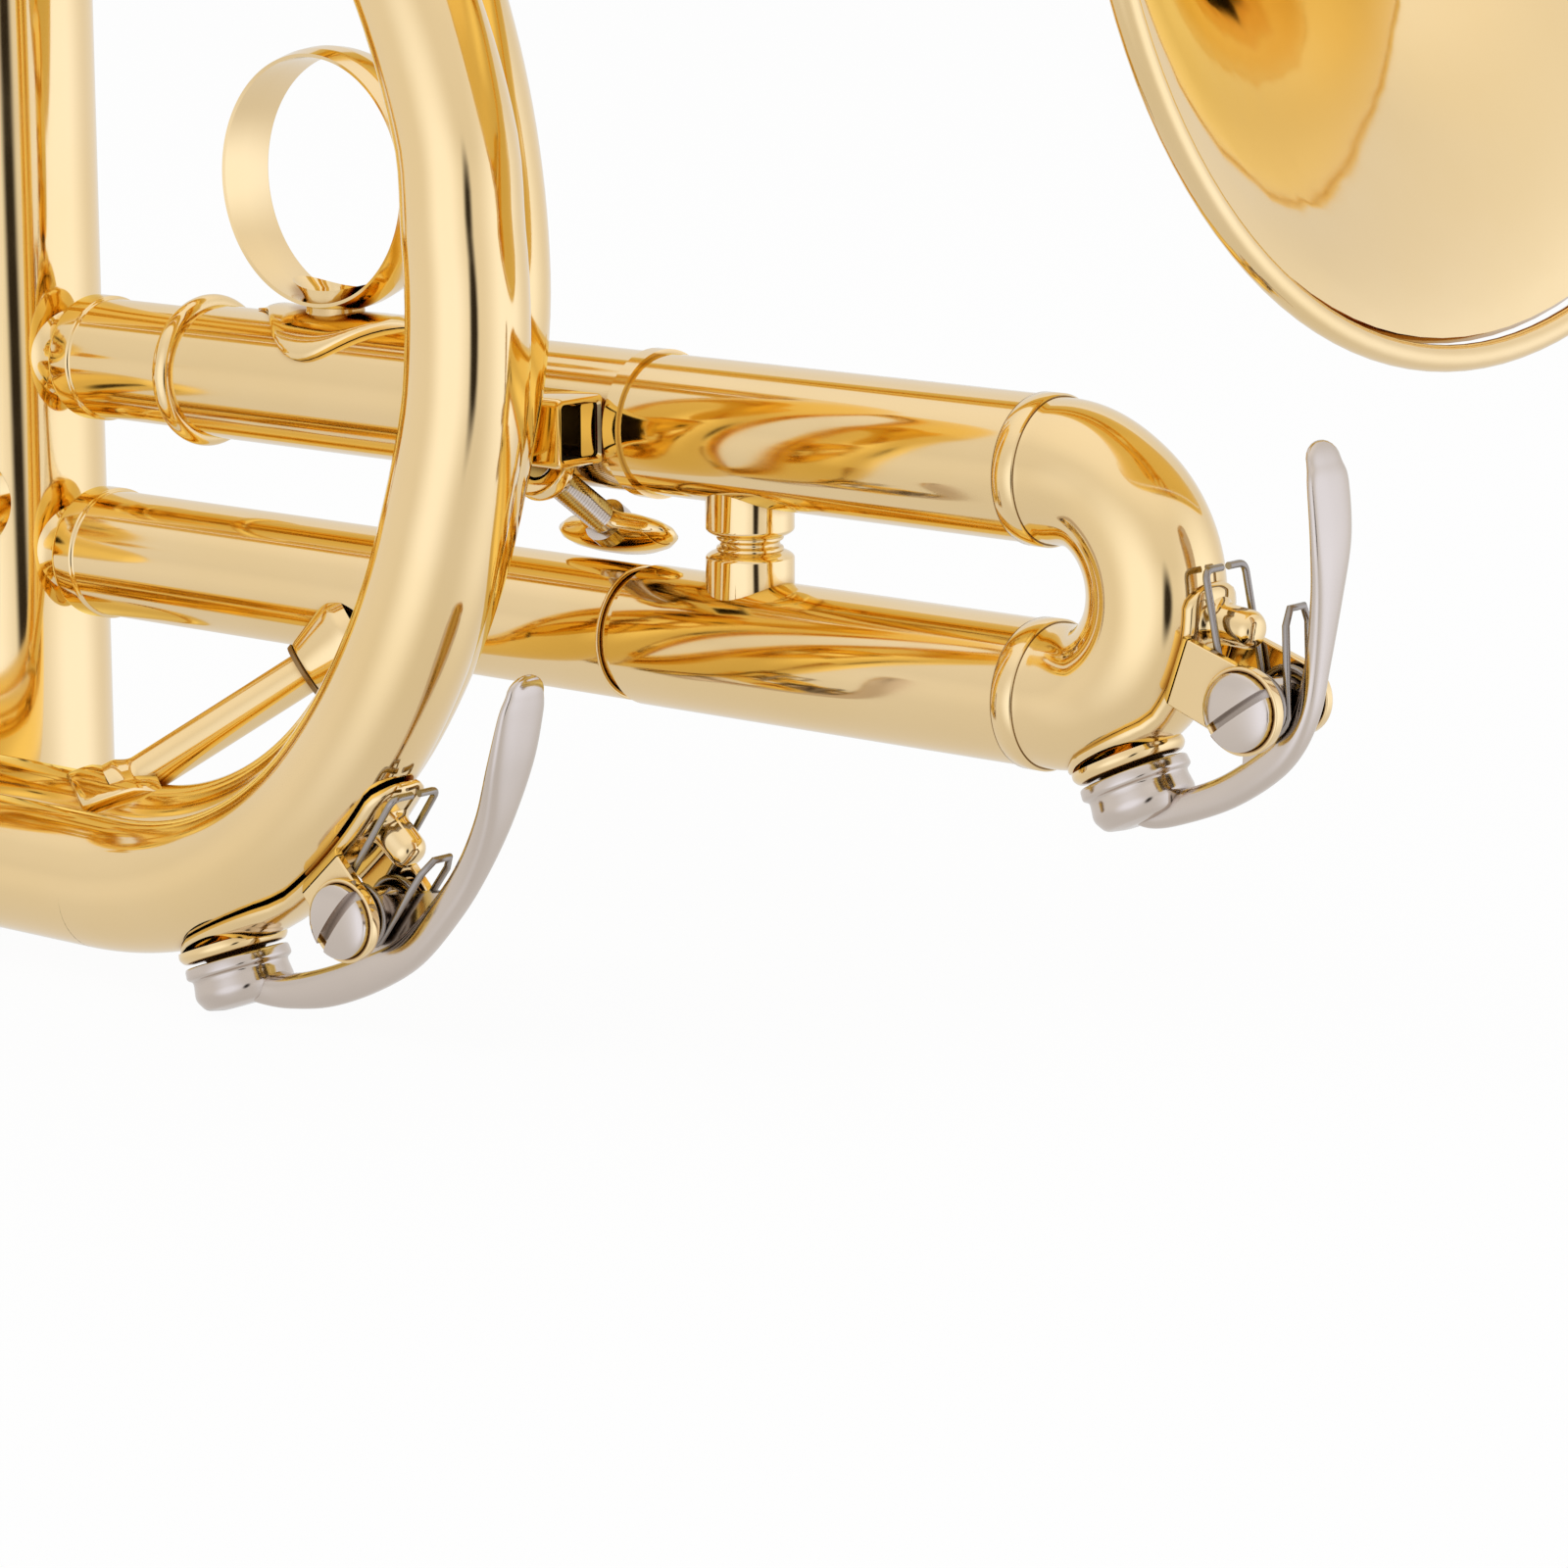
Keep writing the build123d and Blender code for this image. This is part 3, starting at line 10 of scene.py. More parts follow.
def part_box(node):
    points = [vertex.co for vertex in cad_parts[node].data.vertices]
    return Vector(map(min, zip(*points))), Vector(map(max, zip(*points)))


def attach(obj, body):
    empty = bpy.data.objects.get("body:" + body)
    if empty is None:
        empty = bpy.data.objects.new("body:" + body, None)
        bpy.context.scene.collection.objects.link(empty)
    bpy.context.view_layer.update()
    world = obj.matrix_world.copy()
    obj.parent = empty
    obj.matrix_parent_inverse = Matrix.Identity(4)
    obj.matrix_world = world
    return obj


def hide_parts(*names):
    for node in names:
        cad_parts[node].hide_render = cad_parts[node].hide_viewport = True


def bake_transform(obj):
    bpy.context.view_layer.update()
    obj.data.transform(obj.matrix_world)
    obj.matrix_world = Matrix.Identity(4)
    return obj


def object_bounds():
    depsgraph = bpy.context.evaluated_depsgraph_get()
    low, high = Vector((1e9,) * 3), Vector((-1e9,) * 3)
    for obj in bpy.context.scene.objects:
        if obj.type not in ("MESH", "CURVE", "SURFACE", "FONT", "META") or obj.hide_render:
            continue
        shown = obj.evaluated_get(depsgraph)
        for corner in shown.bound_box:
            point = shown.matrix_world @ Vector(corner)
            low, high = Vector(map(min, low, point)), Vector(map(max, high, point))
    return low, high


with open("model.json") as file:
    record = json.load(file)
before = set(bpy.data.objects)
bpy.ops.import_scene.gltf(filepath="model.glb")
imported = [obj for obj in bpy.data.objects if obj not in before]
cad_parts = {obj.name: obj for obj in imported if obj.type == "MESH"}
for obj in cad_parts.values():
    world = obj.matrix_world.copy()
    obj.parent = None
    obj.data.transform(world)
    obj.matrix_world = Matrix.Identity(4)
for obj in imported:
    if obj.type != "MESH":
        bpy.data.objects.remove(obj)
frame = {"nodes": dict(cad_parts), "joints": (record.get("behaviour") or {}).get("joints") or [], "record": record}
cad_low, cad_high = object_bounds()

# A lacquered cornet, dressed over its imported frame. Lengths are millimetres unless a name ends in
# _M. +X runs forward to the bell, +Y to the player's left and +Z up along the valves. A profile is
# a list of (distance along the axis, radius).

MM = 0.001
FRONT = Vector((1, 0, 0))
LEFT = Vector((0, 1, 0))
UP = Vector((0, 0, 1))


def vec(x, y, z):
    return Vector((x, y, z))


def box(node):
    """Lowest and highest corner of a CAD node, in millimetres."""
    low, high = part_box(node)
    return Vector(low) / MM, Vector(high) / MM


def middle(node):
    """Centre of a CAD node's box, in millimetres."""
    low, high = box(node)
    return (low + high) / 2


def span(node):
    """Size of a CAD node's box, in millimetres."""
    low, high = box(node)
    return high - low


def joint(name):
    """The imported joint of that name."""
    return next(j for j in frame["joints"] if j["name"] == name)


# ---- sizes, read from the frame

CASING_R = span("valve_casing_3").x / 2
VALVES = [middle(f"valve_casing_{n}") for n in (1, 2, 3)]
VALVE_Y = VALVES[2].y
CAP_R = span("top_caps").y / 2

UPPER_Z = middle("third_sleeve_upper").z
LOWER_Z = middle("third_sleeve_lower").z
PITCH = UPPER_Z - LOWER_Z
SLEEVE_R = span("third_sleeve_lower").z / 2
FERRULE_X = box("third_sleeve_upper")[1].x
END_BOW_R = 6.2
END_BOW_X = box("third_bow")[1].x - PITCH / 2 - END_BOW_R
END_BOW = vec(END_BOW_X, VALVE_Y, (UPPER_Z + LOWER_Z) / 2)

WALL = 0.5
TUBE_R = 6.35
LEAD_END_R = 4.75
CORNER_R = 42.0
BOW_1_X = box("front_bow")[0].x
BOW_1_LOW = box("front_bow")[0].z + TUBE_R
BOW_2_R = 6.15
BOW_2_X = box("second_bow")[0].x
BOW_2_Y = middle("second_bow").y
BOW_2_TOP = box("second_bow")[1].z - BOW_2_R
BOW_2_LOW = box("second_bow")[0].z + BOW_2_R


# ---- materials


def connect(tree, made, sockets):
    """Gives each input of a node a value, or links it to another node's output."""
    for name, value in sockets.items():
        if isinstance(value, bpy.types.NodeSocket):
            tree.links.new(value, made.inputs[name])
        else:
            made.inputs[name].default_value = value


def add(tree, kind, sockets=None, out=0, **settings):
    """The output out of a new shader node."""
    made = tree.nodes.new("ShaderNode" + kind)
    for name, value in settings.items():
        setattr(made, name, value)
    connect(tree, made, sockets or {})
    return made.outputs[out]


def noise(tree, scale, detail, stretch=(1, 1, 1)):
    """Noise in object space, with features about 1/scale metres across."""
    place = add(tree, "Mapping", {"Vector": add(tree, "TexCoord", out="Object"), "Scale": stretch})
    return add(tree, "TexNoise", {"Vector": place, "Scale": scale, "Detail": detail})


def ramp(tree, value, stops):
    """A colour ramp over value, with (position, colour) stops."""
    colour = add(tree, "ValToRGB", {"Fac": value})
    elements = colour.node.color_ramp.elements
    while len(elements) < len(stops):
        elements.new(0.5)
    for element, (position, tone) in zip(elements, stops):
        element.position = position
        element.color = (*tone, 1)
    return colour


def grey(value):
    return (value, value, value)


def mixed(tree, share, under, over, kind="MIX"):
    """over, an output or a plain colour, laid on under by share."""
    over = over if isinstance(over, bpy.types.NodeSocket) else (*over, 1)
    sockets = {"Factor": share, "A": under, "B": over}
    return add(tree, "Mix", sockets, "Result", data_type="RGBA", blend_type=kind)


def painted_corner_shade(tree, distance, dark, colour):
    """colour, tinted towards dark in the corners and seams: painted shade from ambient occlusion."""
    openness = add(tree, "AmbientOcclusion", {"Distance": distance}, "AO", samples=6)
    shade = ramp(tree, openness, ((0.25, dark), (0.8, grey(1))))
    return mixed(tree, 1.0, colour, shade, "MULTIPLY")


def deepened(tree, colour, tint):
    """colour, richer where another polished part mirrors it."""
    return mixed(tree, add(tree, "LightPath", out="Is Glossy Ray"), colour, tint, "MULTIPLY")


def bump(tree, shader, heights):
    """Chains bumps of (height, strength, distance in metres) into the shader's normal."""
    normal = {}
    for height, strength, distance in heights:
        sockets = {"Strength": strength, "Distance": distance, "Height": height, **normal}
        normal = {"Normal": add(tree, "Bump", sockets)}
    connect(tree, shader, normal)


def new_material(name, slot=None):
    """A material for that slot, its node tree and its shader."""
    material = bpy.data.materials.new(name)
    SLOT_OF[material.name] = slot
    material.use_nodes = True
    return material, material.node_tree, material.node_tree.nodes["Principled BSDF"]


SLOT_OF = {}
TONE_SCALE = 38  # noise scales, in features per metre
SMUDGE_SCALE = 120
WAVE_SCALE = 70
SCRATCH_SCALE = 900
# reach of the painted shade in corners and seams
PAINTED_SHADE_REACH_M = 0.0012
WAVE_M = 0.00002
SCRATCH_M = 0.000004
SMUDGED = 1.8  # roughness of a smudge, against the clean metal's


def metal(name, slot, light, deep, seam, rough, coat=0.0, tint=None):
    """Polished metal: two close tones, smudges, buffing waves, scratches and painted shade in its seams and
    corners.
    """
    material, tree, shader = new_material(name, slot)
    tone = ramp(tree, noise(tree, TONE_SCALE, 4), ((0.35, light), (0.7, deep)))
    # painted shade: the seam tone darkens corners and seams found by ambient occlusion
    tone = painted_corner_shade(tree, PAINTED_SHADE_REACH_M, seam, tone)
    if tint is not None:
        tone = deepened(tree, tone, tint)
    stops = ((0.4, grey(rough)), (0.75, grey(rough * SMUDGED)))
    smudge = ramp(tree, noise(tree, SMUDGE_SCALE, 6), stops)
    connect(tree, shader, {"Metallic": 1.0, "Base Color": tone, "Roughness": smudge})
    waves = noise(tree, WAVE_SCALE, 1)
    scratches = noise(tree, SCRATCH_SCALE, 2, (1, 0.12, 1))
    bump(tree, shader, ((waves, 0.35, WAVE_M), (scratches, 0.05, SCRATCH_M)))
    if coat > 0:
        connect(tree, shader, {"Coat Weight": coat, "Coat Roughness": 0.04, "Coat IOR": 1.5})
    return material


def plain(name, slot, light, deep, rough, scale, relief_m=0.0001, coat=0.0):
    """A non-metal with two tones and a fine grain."""
    material, tree, shader = new_material(name, slot)
    grain = noise(tree, scale, 5)
    tone = ramp(tree, grain, ((0.3, light), (0.7, deep)))
    connect(tree, shader, {"Base Color": tone, "Roughness": rough, "Coat Weight": coat})
    bump(tree, shader, ((grain, 0.4, relief_m),))
    return material


# The tones are the light one, the deep one and, on metal, the painted shade in corners and seams.
TONES = ((0.955, 0.715, 0.39), (0.935, 0.685, 0.345), (0.46, 0.29, 0.10))
GOLD = metal("gold_lacquer", "lacquered_brass", *TONES, 0.065, 0.25, (0.96, 0.93, 0.48))
TONES = ((0.72, 0.625, 0.55), (0.66, 0.57, 0.50), (0.30, 0.26, 0.23))
NICKEL = metal("nickel", "plated_steel", *TONES, 0.12)
TONES = ((0.42, 0.37, 0.33), (0.34, 0.30, 0.27), (0.18, 0.16, 0.14))
STEEL = metal("spring_wire", "spring_steel", *TONES, 0.22)
TONES = ((0.66, 0.65, 0.62), (0.58, 0.57, 0.54), (0.40, 0.38, 0.35))
GROUND = metal("ground_alloy", "piston_metal", *TONES, 0.25)
TONES = ((0.42, 0.27, 0.12), (0.32, 0.19, 0.08), (0.14, 0.08, 0.03))
SEAM = metal("solder_seam", "lacquered_brass", *TONES, 0.30)
TONES = ((0.90, 0.89, 0.85), (0.80, 0.82, 0.84))
PEARL = plain("pearl", "pearl", *TONES, 0.15, 160, 0.00003, 1.0)
CORK = plain("cork_pad", "cork", (0.33, 0.24, 0.15), (0.20, 0.14, 0.09), 0.8, 900)
# painted shadow: near-black tones for the sheet that lines the lyre box's hole
TONES = ((0.035, 0.018, 0.008), (0.02, 0.01, 0.005))
PAINTED_BORE_SHADOW = plain("shadowed_bore", "lacquered_brass", *TONES, 0.5, 300)


# ---- mesh tools


def soft(points, size=0.3, steps=4):
    """The open outline with its corners rounded by about size."""
    points = [Vector(p) for p in points]
    out = [points[0]]
    for before, corner, after in zip(points, points[1:], points[2:]):
        back = before - corner
        ahead = after - corner
        cut = min(size, 0.45 * back.length, 0.45 * ahead.length)
        first = corner + back.normalized() * cut
        last = corner + ahead.normalized() * cut
        for step in range(steps + 1):
            t = step / steps
            out.append(first * (1 - t) ** 2 + corner * 2 * t * (1 - t) + last * t**2)
    out.append(points[-1])
    return out


def turns(count):
    """Equal steps round a full turn, in radians."""
    return [2 * pi * i / count for i in range(count)]


def eased(t):
    """0 to 1 with a soft start and a soft end."""
    return t * t * (3 - 2 * t)


def arc(centre, start, axis, angle, steps):
    """An arc from start round centre, by angle radians about axis."""
    arm = start - centre
    return [centre + Matrix.Rotation(angle * i / steps, 3, axis) @ arm for i in range(steps + 1)]


def polar(angle):
    """The unit vector at angle from FRONT towards UP."""
    return vec(cos(angle), 0, sin(angle))


def across(direction):
    """Two unit vectors square to direction."""
    direction = direction.normalized()
    side = direction.cross(UP if abs(direction.z) < 0.9 else FRONT).normalized()
    return side, side.cross(direction).normalized()


def headings(path):
    """The unit direction of an open path at each of its points."""
    last = len(path) - 1
    return [(path[min(i + 1, last)] - path[max(i - 1, 0)]).normalized() for i in range(last + 1)]


def spline(points, steps=8):
    """A smooth curve through tuples of any length."""
    points = [Vector(p) for p in points]
    out = []
    for i in range(len(points) - 1):
        a = points[i - 1] if i else points[0] * 2 - points[1]
        b = points[i]
        c = points[i + 1]
        d = points[i + 2] if i + 2 < len(points) else c * 2 - b
        for t in (step / steps for step in range(steps)):
            square = (a * 2 - b * 5 + c * 4 - d) * t**2
            cube = (b * 3 - a - c * 3 + d) * t**3
            out.append((b * 2 + (c - a) * t + square + cube) * 0.5)
    out.append(points[-1])
    return out


def squircle(centre, wide, deep, power=2.6, sides=40):
    """A ring between an ellipse and a box, with those half axes."""
    ring = []
    for turn in turns(sides):
        c = cos(turn)
        s = sin(turn)
        x = abs(c) ** (2 / power) * (1 if c >= 0 else -1)
        y = abs(s) ** (2 / power) * (1 if s >= 0 else -1)
        ring.append(centre + wide * x + deep * y)
    return ring


def circle(spot, side, other, radius, sides, wobble=None):
    """A ring in the plane of side and other; wobble(turn) is added to its radius."""
    reaches = [(t, radius + (wobble(t) if wobble else 0)) for t in turns(sides)]
    return [spot + (side * cos(t) + other * sin(t)) * reach for t, reach in reaches]


def bead(along, radius, wide, tall, count):
    """The oval section of a bead, for a closed lathe."""
    return [(along + wide * cos(t), radius + tall * sin(t)) for t in turns(count)]


def new_object(name, data):
    """An object with that data, in the scene."""
    made = bpy.data.objects.new(name, data)
    bpy.context.scene.collection.objects.link(made)
    return made


class Form:
    """Collects shells of one piece, in millimetres."""

    def __init__(self):
        self.mesh = bmesh.new()

    def grid(self, rows, close_rings=True, caps=(False, False), join_ends=False):
        """A skin over rows of points; a row of one point is a pole."""
        rings = [[self.mesh.verts.new(Vector(p) * MM) for p in row] for row in rows]
        pairs = list(zip(rings, rings[1:]))
        if join_ends:
            pairs.append((rings[-1], rings[0]))
        for near, far in pairs:
            count = max(len(near), len(far))
            for i in range(count if close_rings else count - 1):
                steps = (near, i), (near, i + 1), (far, i + 1), (far, i)
                unique = list(dict.fromkeys(ring[step % count % len(ring)] for ring, step in steps))
                if len(unique) > 2:
                    self.mesh.faces.new(unique)
        for ring, capped in ((rings[0], caps[0]), (rings[-1], caps[1])):
            if capped and len(ring) > 2:
                self.mesh.faces.new(ring)
        return self

    def lathe(self, start, axis, profile, sides=96, closed=False, wobble=None):
        """Turns a profile round the axis through start."""
        axis = Vector(axis).normalized()
        side, other = across(axis)
        rows = []
        for along, radius in profile:
            spot = Vector(start) + axis * along
            row = circle(spot, side, other, radius, sides, wobble)
            rows.append([spot] if radius < 1e-6 else row)
        return self.grid(rows, join_ends=closed)

    def tube(self, path, radius, sides=64, caps=(False, False)):
        """Sweeps a circle along path, with one radius or one for each point."""
        radii = radius if isinstance(radius, list) else [radius] * len(path)
        tangents = headings(path)
        side, _ = across(tangents[0])
        rows = []
        for spot, tangent, reach in zip(path, tangents, radii):
            side = (side - tangent * side.dot(tangent)).normalized()
            rows.append(circle(spot, side, tangent.cross(side), reach, sides))
        return self.grid(rows, caps=caps)

    def prism(self, outline, depth):
        """A flat outline pushed along depth."""
        return self.grid([outline, [Vector(p) + depth for p in outline]], caps=(True, True))

    def patch(self, spot, outline, thick, rows=10, columns=12):
        """A plate over a curved skin: spot(u, v, rise) places it, outline(u) is its v range."""
        top = []
        low = []
        for u in (-cos(pi * i / rows) for i in range(rows + 1)):
            near, far = outline(u)
            vs = [near + (far - near) * (1 - cos(pi * j / columns)) / 2 for j in range(columns + 1)]
            edge = min(1.0, 4 * (1 - abs(u)) ** 0.5, (far - near) / 3.0)
            crown = [min(1.0, 0.55 + 3 * min(j, columns - j) / columns) for j in range(columns + 1)]
            top.append([spot(u, v, thick * edge * share) for v, share in zip(vs, crown)])
            low.append([spot(u, v, 0) for v in vs])
        self.grid(top, close_rings=False)
        self.grid(low, close_rings=False)
        return self.grid([border(top), border(low)])

    def saddle(self, centre, radius, long, half, thick, rows, gap=0.05, shift=0.0):
        """A plate over a tube along X, half(u) wide to each side; u is -1 to 1 along it."""

        def spot(u, v, rise):
            reach = radius + gap + rise
            return centre + vec(u * long, reach * sin(v / radius), reach * cos(v / radius))

        return self.patch(spot, lambda u: (shift - half(u), shift + half(u)), thick, rows)

    def make(self, name, material, body, *nodes, crease=32):
        """Finishes the piece, which stands for nodes.

        body is what it rides on; for a spring it is (near body, far body, start, end), which is not used: the
        piece is only baked in place.
        """
        bmesh.ops.recalc_face_normals(self.mesh, faces=self.mesh.faces)
        mesh = bpy.data.meshes.new(name)
        self.mesh.to_mesh(mesh)
        self.mesh.free()
        mesh.polygons.foreach_set("use_smooth", [True] * len(mesh.polygons))
        mesh.set_sharp_from_angle(angle=radians(crease))
        mesh.materials.append(material)
        obj = new_object(name, mesh)
        if isinstance(body, str):
            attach(obj, body)
        else:
            near, far, start, end = body
            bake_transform(obj)
        if nodes:
            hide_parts(*nodes)
        return obj


def border(sheet):
    """The outer points of a sheet of rows, in order round it."""
    far_side = [row[-1] for row in sheet[1:]]
    near_side = [row[0] for row in sheet[::-1][1:-1]]
    return sheet[0] + far_side + sheet[-1][::-1][1:] + near_side


def turned(name, start, axis, profile, body, *nodes, material=GOLD, size=0.3, crease=32, **lathe):
    """One turned piece, with its corners softened by size."""
    profile = soft(profile, size) if size else profile
    form = Form().lathe(start, axis, profile, **lathe)
    return form.make(name, material, body, *nodes, crease=crease)


def side_strip(path, halves, thick, power, sides):
    """Rings of a strip along path, in the XZ plane, with those half widths."""
    rings = []
    for spot, along, half in zip(path, headings(path), halves):
        rings.append(squircle(spot, LEFT * half, along.cross(LEFT) * thick, power, sides))
    return rings


# ---- water keys

COIL_R = 2.8
WIRE_R = 0.34
COIL_OUTER = 2.9  # distance of a coil's two ends from the middle plane
COIL_INNER = 1.66
HUB_R = 2.3
HUB_HALF = 2.95
WEB_HALF = 0.85
TIP_LONG = 1.8
EAR_THICK = 1.0
EAR_OUTER = 4.3
EAR_INNER = EAR_OUTER - EAR_THICK
EAR_TOP_R = 3.35
EAR_BEVEL = 0.22
HEAD_OUT = 4.35
SCREW_R = 3.45
PAD_LIFT = 1.8  # from the tube's skin to the pad's face


@dataclass
class Key:
    """One water key on the outside of a bend, placed from its packed joint and pad."""

    number: int
    host: str
    centre: Vector  # of the bend
    bend_r: float
    tube_r: float
    post: float  # degrees round the bend, from FRONT
    strap_end: float  # degrees past the post
    slot: tuple  # tilt in degrees, half width
    lever: tuple  # (x, z, depth, half width) from the pivot, from the cup to the spoon
    hook: Vector  # the spring's end at the post, from the pivot
    leg: Vector  # the spring's end at the lever

    def __post_init__(self):
        self.pin = Vector(joint(f"water_key_{self.number}_open")["pos_m"]) / MM
        self.moving = f"water_key_{self.number}"
        pad = middle(self.node("cork")) - self.centre
        self.out = vec(pad.x, 0, pad.z).normalized()
        self.nipple = atan2(self.out.z, self.out.x)
        self.seat = self.centre + self.out * (self.bend_r + self.tube_r)
        stand = self.pin - self.centre
        self.pivot = atan2(stand.z, stand.x)

    def node(self, what):
        return f"water_key_{what}_{self.number}"

    def at(self, x, z, y=0.0):
        """A point given from the pivot."""
        return self.pin + vec(x, y, z)

    def on_bend(self, angle, side, rise):
        """A point over the bend: angle goes round the bend, side goes round its tube."""
        turn = side / self.tube_r
        reach = self.bend_r + (self.tube_r + rise) * cos(turn)
        y = self.centre.y + (self.tube_r + rise) * sin(turn)
        return vec(self.centre.x + reach * cos(angle), y, self.centre.z + reach * sin(angle))

    def turned(self, what, start, axis, profile, node="saddle", **options):
        """A turned piece, on the host unless it belongs to the lever or the pad."""
        body = self.moving if node in ("lever", "cork") else self.host
        turned(f"{what}_{self.number}", start, axis, profile, body, self.node(node), **options)


KEYS = (
    Key(
        1, "body", vec(BOW_1_X, middle("front_bow").y, BOW_1_LOW + CORNER_R), CORNER_R, TUBE_R,
        post=-39.5, strap_end=6, slot=(52, 0.55), hook=vec(4.8, 0, 11.6), leg=vec(8.0, 0, 6.1),
        lever=(
            (-17.2, -10.6, 3.2, 2.4), (-14.5, -11.0, 3.2, 1.9), (-11.2, -10.9, 3.3, 1.5),
            (-6.1, -9.9, 3.7, 1.25), (-0.4, -7.6, 3.7, 1.25), (4.9, -4.4, 3.3, 1.25),
            (9.6, 0.4, 3.0, 1.25), (12.9, 4.8, 2.8, 1.35), (15.7, 10.0, 2.6, 1.9),
            (17.6, 15.6, 2.1, 2.7), (18.7, 20.4, 1.5, 2.75), (19.1, 22.4, 1.2, 2.3),
        ),
    ),
    Key(
        2, "third_slide", END_BOW, PITCH / 2, END_BOW_R,
        post=-5.0, strap_end=12, slot=(35, 0.42), hook=vec(-5.3, 0, 11.4), leg=vec(2.3, 0, 8.7),
        lever=(
            (-14.6, -12.2, 3.0, 2.4), (-12.4, -12.7, 3.0, 1.9), (-9.4, -12.0, 3.0, 1.5),
            (-4.2, -9.9, 3.0, 1.25), (0.3, -7.0, 3.0, 1.25), (2.9, -4.2, 2.6, 1.25),
            (4.6, -0.6, 2.1, 1.25), (5.4, 3.5, 1.8, 1.3), (6.2, 9.5, 1.7, 1.9),
            (6.5, 14.8, 1.6, 2.7), (6.0, 19.8, 1.4, 2.8), (5.4, 21.8, 1.2, 2.3),
        ),
    ),
)


def make_lever(key):
    """A slim curved bar from the cup to a leaf-shaped spoon, a web and a hub."""
    stations = spline(key.lever, 8)
    centres = []
    rings = []
    for station, along in zip(stations, headings([vec(s[0], 0, s[1]) for s in stations])):
        x, z, depth, half = station
        inward = vec(-along.z, 0, along.x) * depth / 2
        centres.append(key.at(x, z) + inward)
        rings.append(squircle(centres[-1], LEFT * half, inward))
    close = rings[-1]
    heart = sum(close, Vector()) / len(close)
    for step in range(1, 7):
        turn = pi / 2 * step / 6
        spot = heart + along * TIP_LONG * sin(turn)
        rings.append([spot + (p - heart) * cos(turn) for p in close] if step < 6 else [spot])
    form = Form().grid(rings, caps=(True, False))
    on_bar = [centres[i] - LEFT * WEB_HALF for i in range(28, 53, 4)]
    web = [key.at(-2.4, -1.2, -WEB_HALF), *on_bar, key.at(1.2, 1.9, -WEB_HALF)]
    form.prism(web, LEFT * 2 * WEB_HALF)
    long = 2 * HUB_HALF
    hub = soft([(0, 1.3), (0, HUB_R), (long, HUB_R), (long, 1.3)], 0.25)
    form.lathe(key.at(0, 0, -HUB_HALF), LEFT, hub, sides=48)
    form.make(f"lever_{key.number}", NICKEL, key.moving, key.node("lever"), crease=50)


def make_cup(key):
    """The pad and its cup, with a flange, a groove and a domed back."""
    cup = [
        (1.0, 0), (1.0, 4.15), (-0.45, 4.3), (-0.45, 5.0), (0.6, 5.1), (0.9, 4.6),
        (1.3, 4.6), (2.6, 4.8), (3.8, 4.1), (4.2, 2.4), (4.2, 0),
    ]
    face = key.seat + key.out * PAD_LIFT
    options = {"material": NICKEL, "size": 0.45, "sides": 80, "crease": 50}
    key.turned("cup", face, key.out, cup, "lever", **options)
    pad = [(0, 0), (0, 4.05), (1.1, 4.05), (1.1, 0)]
    key.turned("pad", face, key.out, pad, "cork", material=CORK, sides=64)


def wire_half(key, side):
    """One side of the double spring: hook, leg, coil and the leg to the lever."""
    hook = key.hook
    leg = key.leg
    far = COIL_OUTER * side
    near = COIL_INNER * side
    on_left = vec(-hook.z, 0, hook.x).normalized() * COIL_R
    on_right = vec(leg.z, 0, -leg.x).normalized() * COIL_R
    first = atan2(on_left.z, on_left.x)
    wound = (atan2(on_right.z, on_right.x) - first) % (2 * pi) + 2 * pi
    bent = [
        key.pin + hook + LEFT * 0.5 * side,
        key.pin + hook + LEFT * far,
        key.pin + on_left * 1.02 + (hook - on_left).normalized() * 0.8 + LEFT * far,
    ]
    path = soft(bent, 0.9, 6)
    for t in (i / 40 for i in range(41)):
        coil = polar(first + wound * t) * COIL_R
        path.append(key.pin + coil + LEFT * (far + (near - far) * t))
    path.append(key.pin + on_right * 0.15 + leg * 0.85 + LEFT * near)
    return path + [key.pin + leg + LEFT * near * 0.6]


def make_wire(key):
    """One wire: a bridge over the post, two coils round the hub and a bridge on the lever."""
    path = wire_half(key, 1) + wire_half(key, -1)[::-1]
    cleaned = [path[0]]
    for spot in path[1:]:
        if (spot - cleaned[-1]).length > 0.02:
            cleaned.append(spot)
    form = Form().tube(cleaned, WIRE_R, sides=20, caps=(True, True))
    body = (key.host, key.moving, key.pin + key.leg.normalized() * 3.6, key.pin + key.leg)
    form.make(f"key_wire_{key.number}", STEEL, body, key.node("spring"), crease=60)


def make_strap(key):
    """The strap on the tube, with an oval under the pad, and the nipple's lip."""
    tail = 5.6 / (key.bend_r + key.tube_r)
    low = key.nipple - tail
    reach = radians(key.post + key.strap_end) - low

    def spot(u, v, rise):
        return key.on_bend(low + reach * (u + 1) / 2, v, 0.05 + rise)

    def outline(u):
        oval = 4.9 * max(0.0, 1 - ((u + 0.5) / 0.62) ** 2) ** 0.5 if u < 0.0 else 0.0
        half = max(oval, 3.4) if u > -0.97 else 1.6
        half = min(half, 0.6 + 8 * (1 - abs(u)) ** 0.5)
        return -half, half

    form = Form().patch(spot, outline, 0.8, rows=28)
    form.make(f"strap_{key.number}", GOLD, key.host, key.node("saddle"), crease=40)
    lip = [
        (-0.2, 5.2), (0.35, 5.3), (0.95, 4.9), (1.1, 4.0),
        (1.0, 2.9), (1.7, 2.75), (1.7, 1.1), (-1.2, 1.1),
    ]
    key.turned("nipple", key.seat, key.out, lip, size=0.35, sides=72)


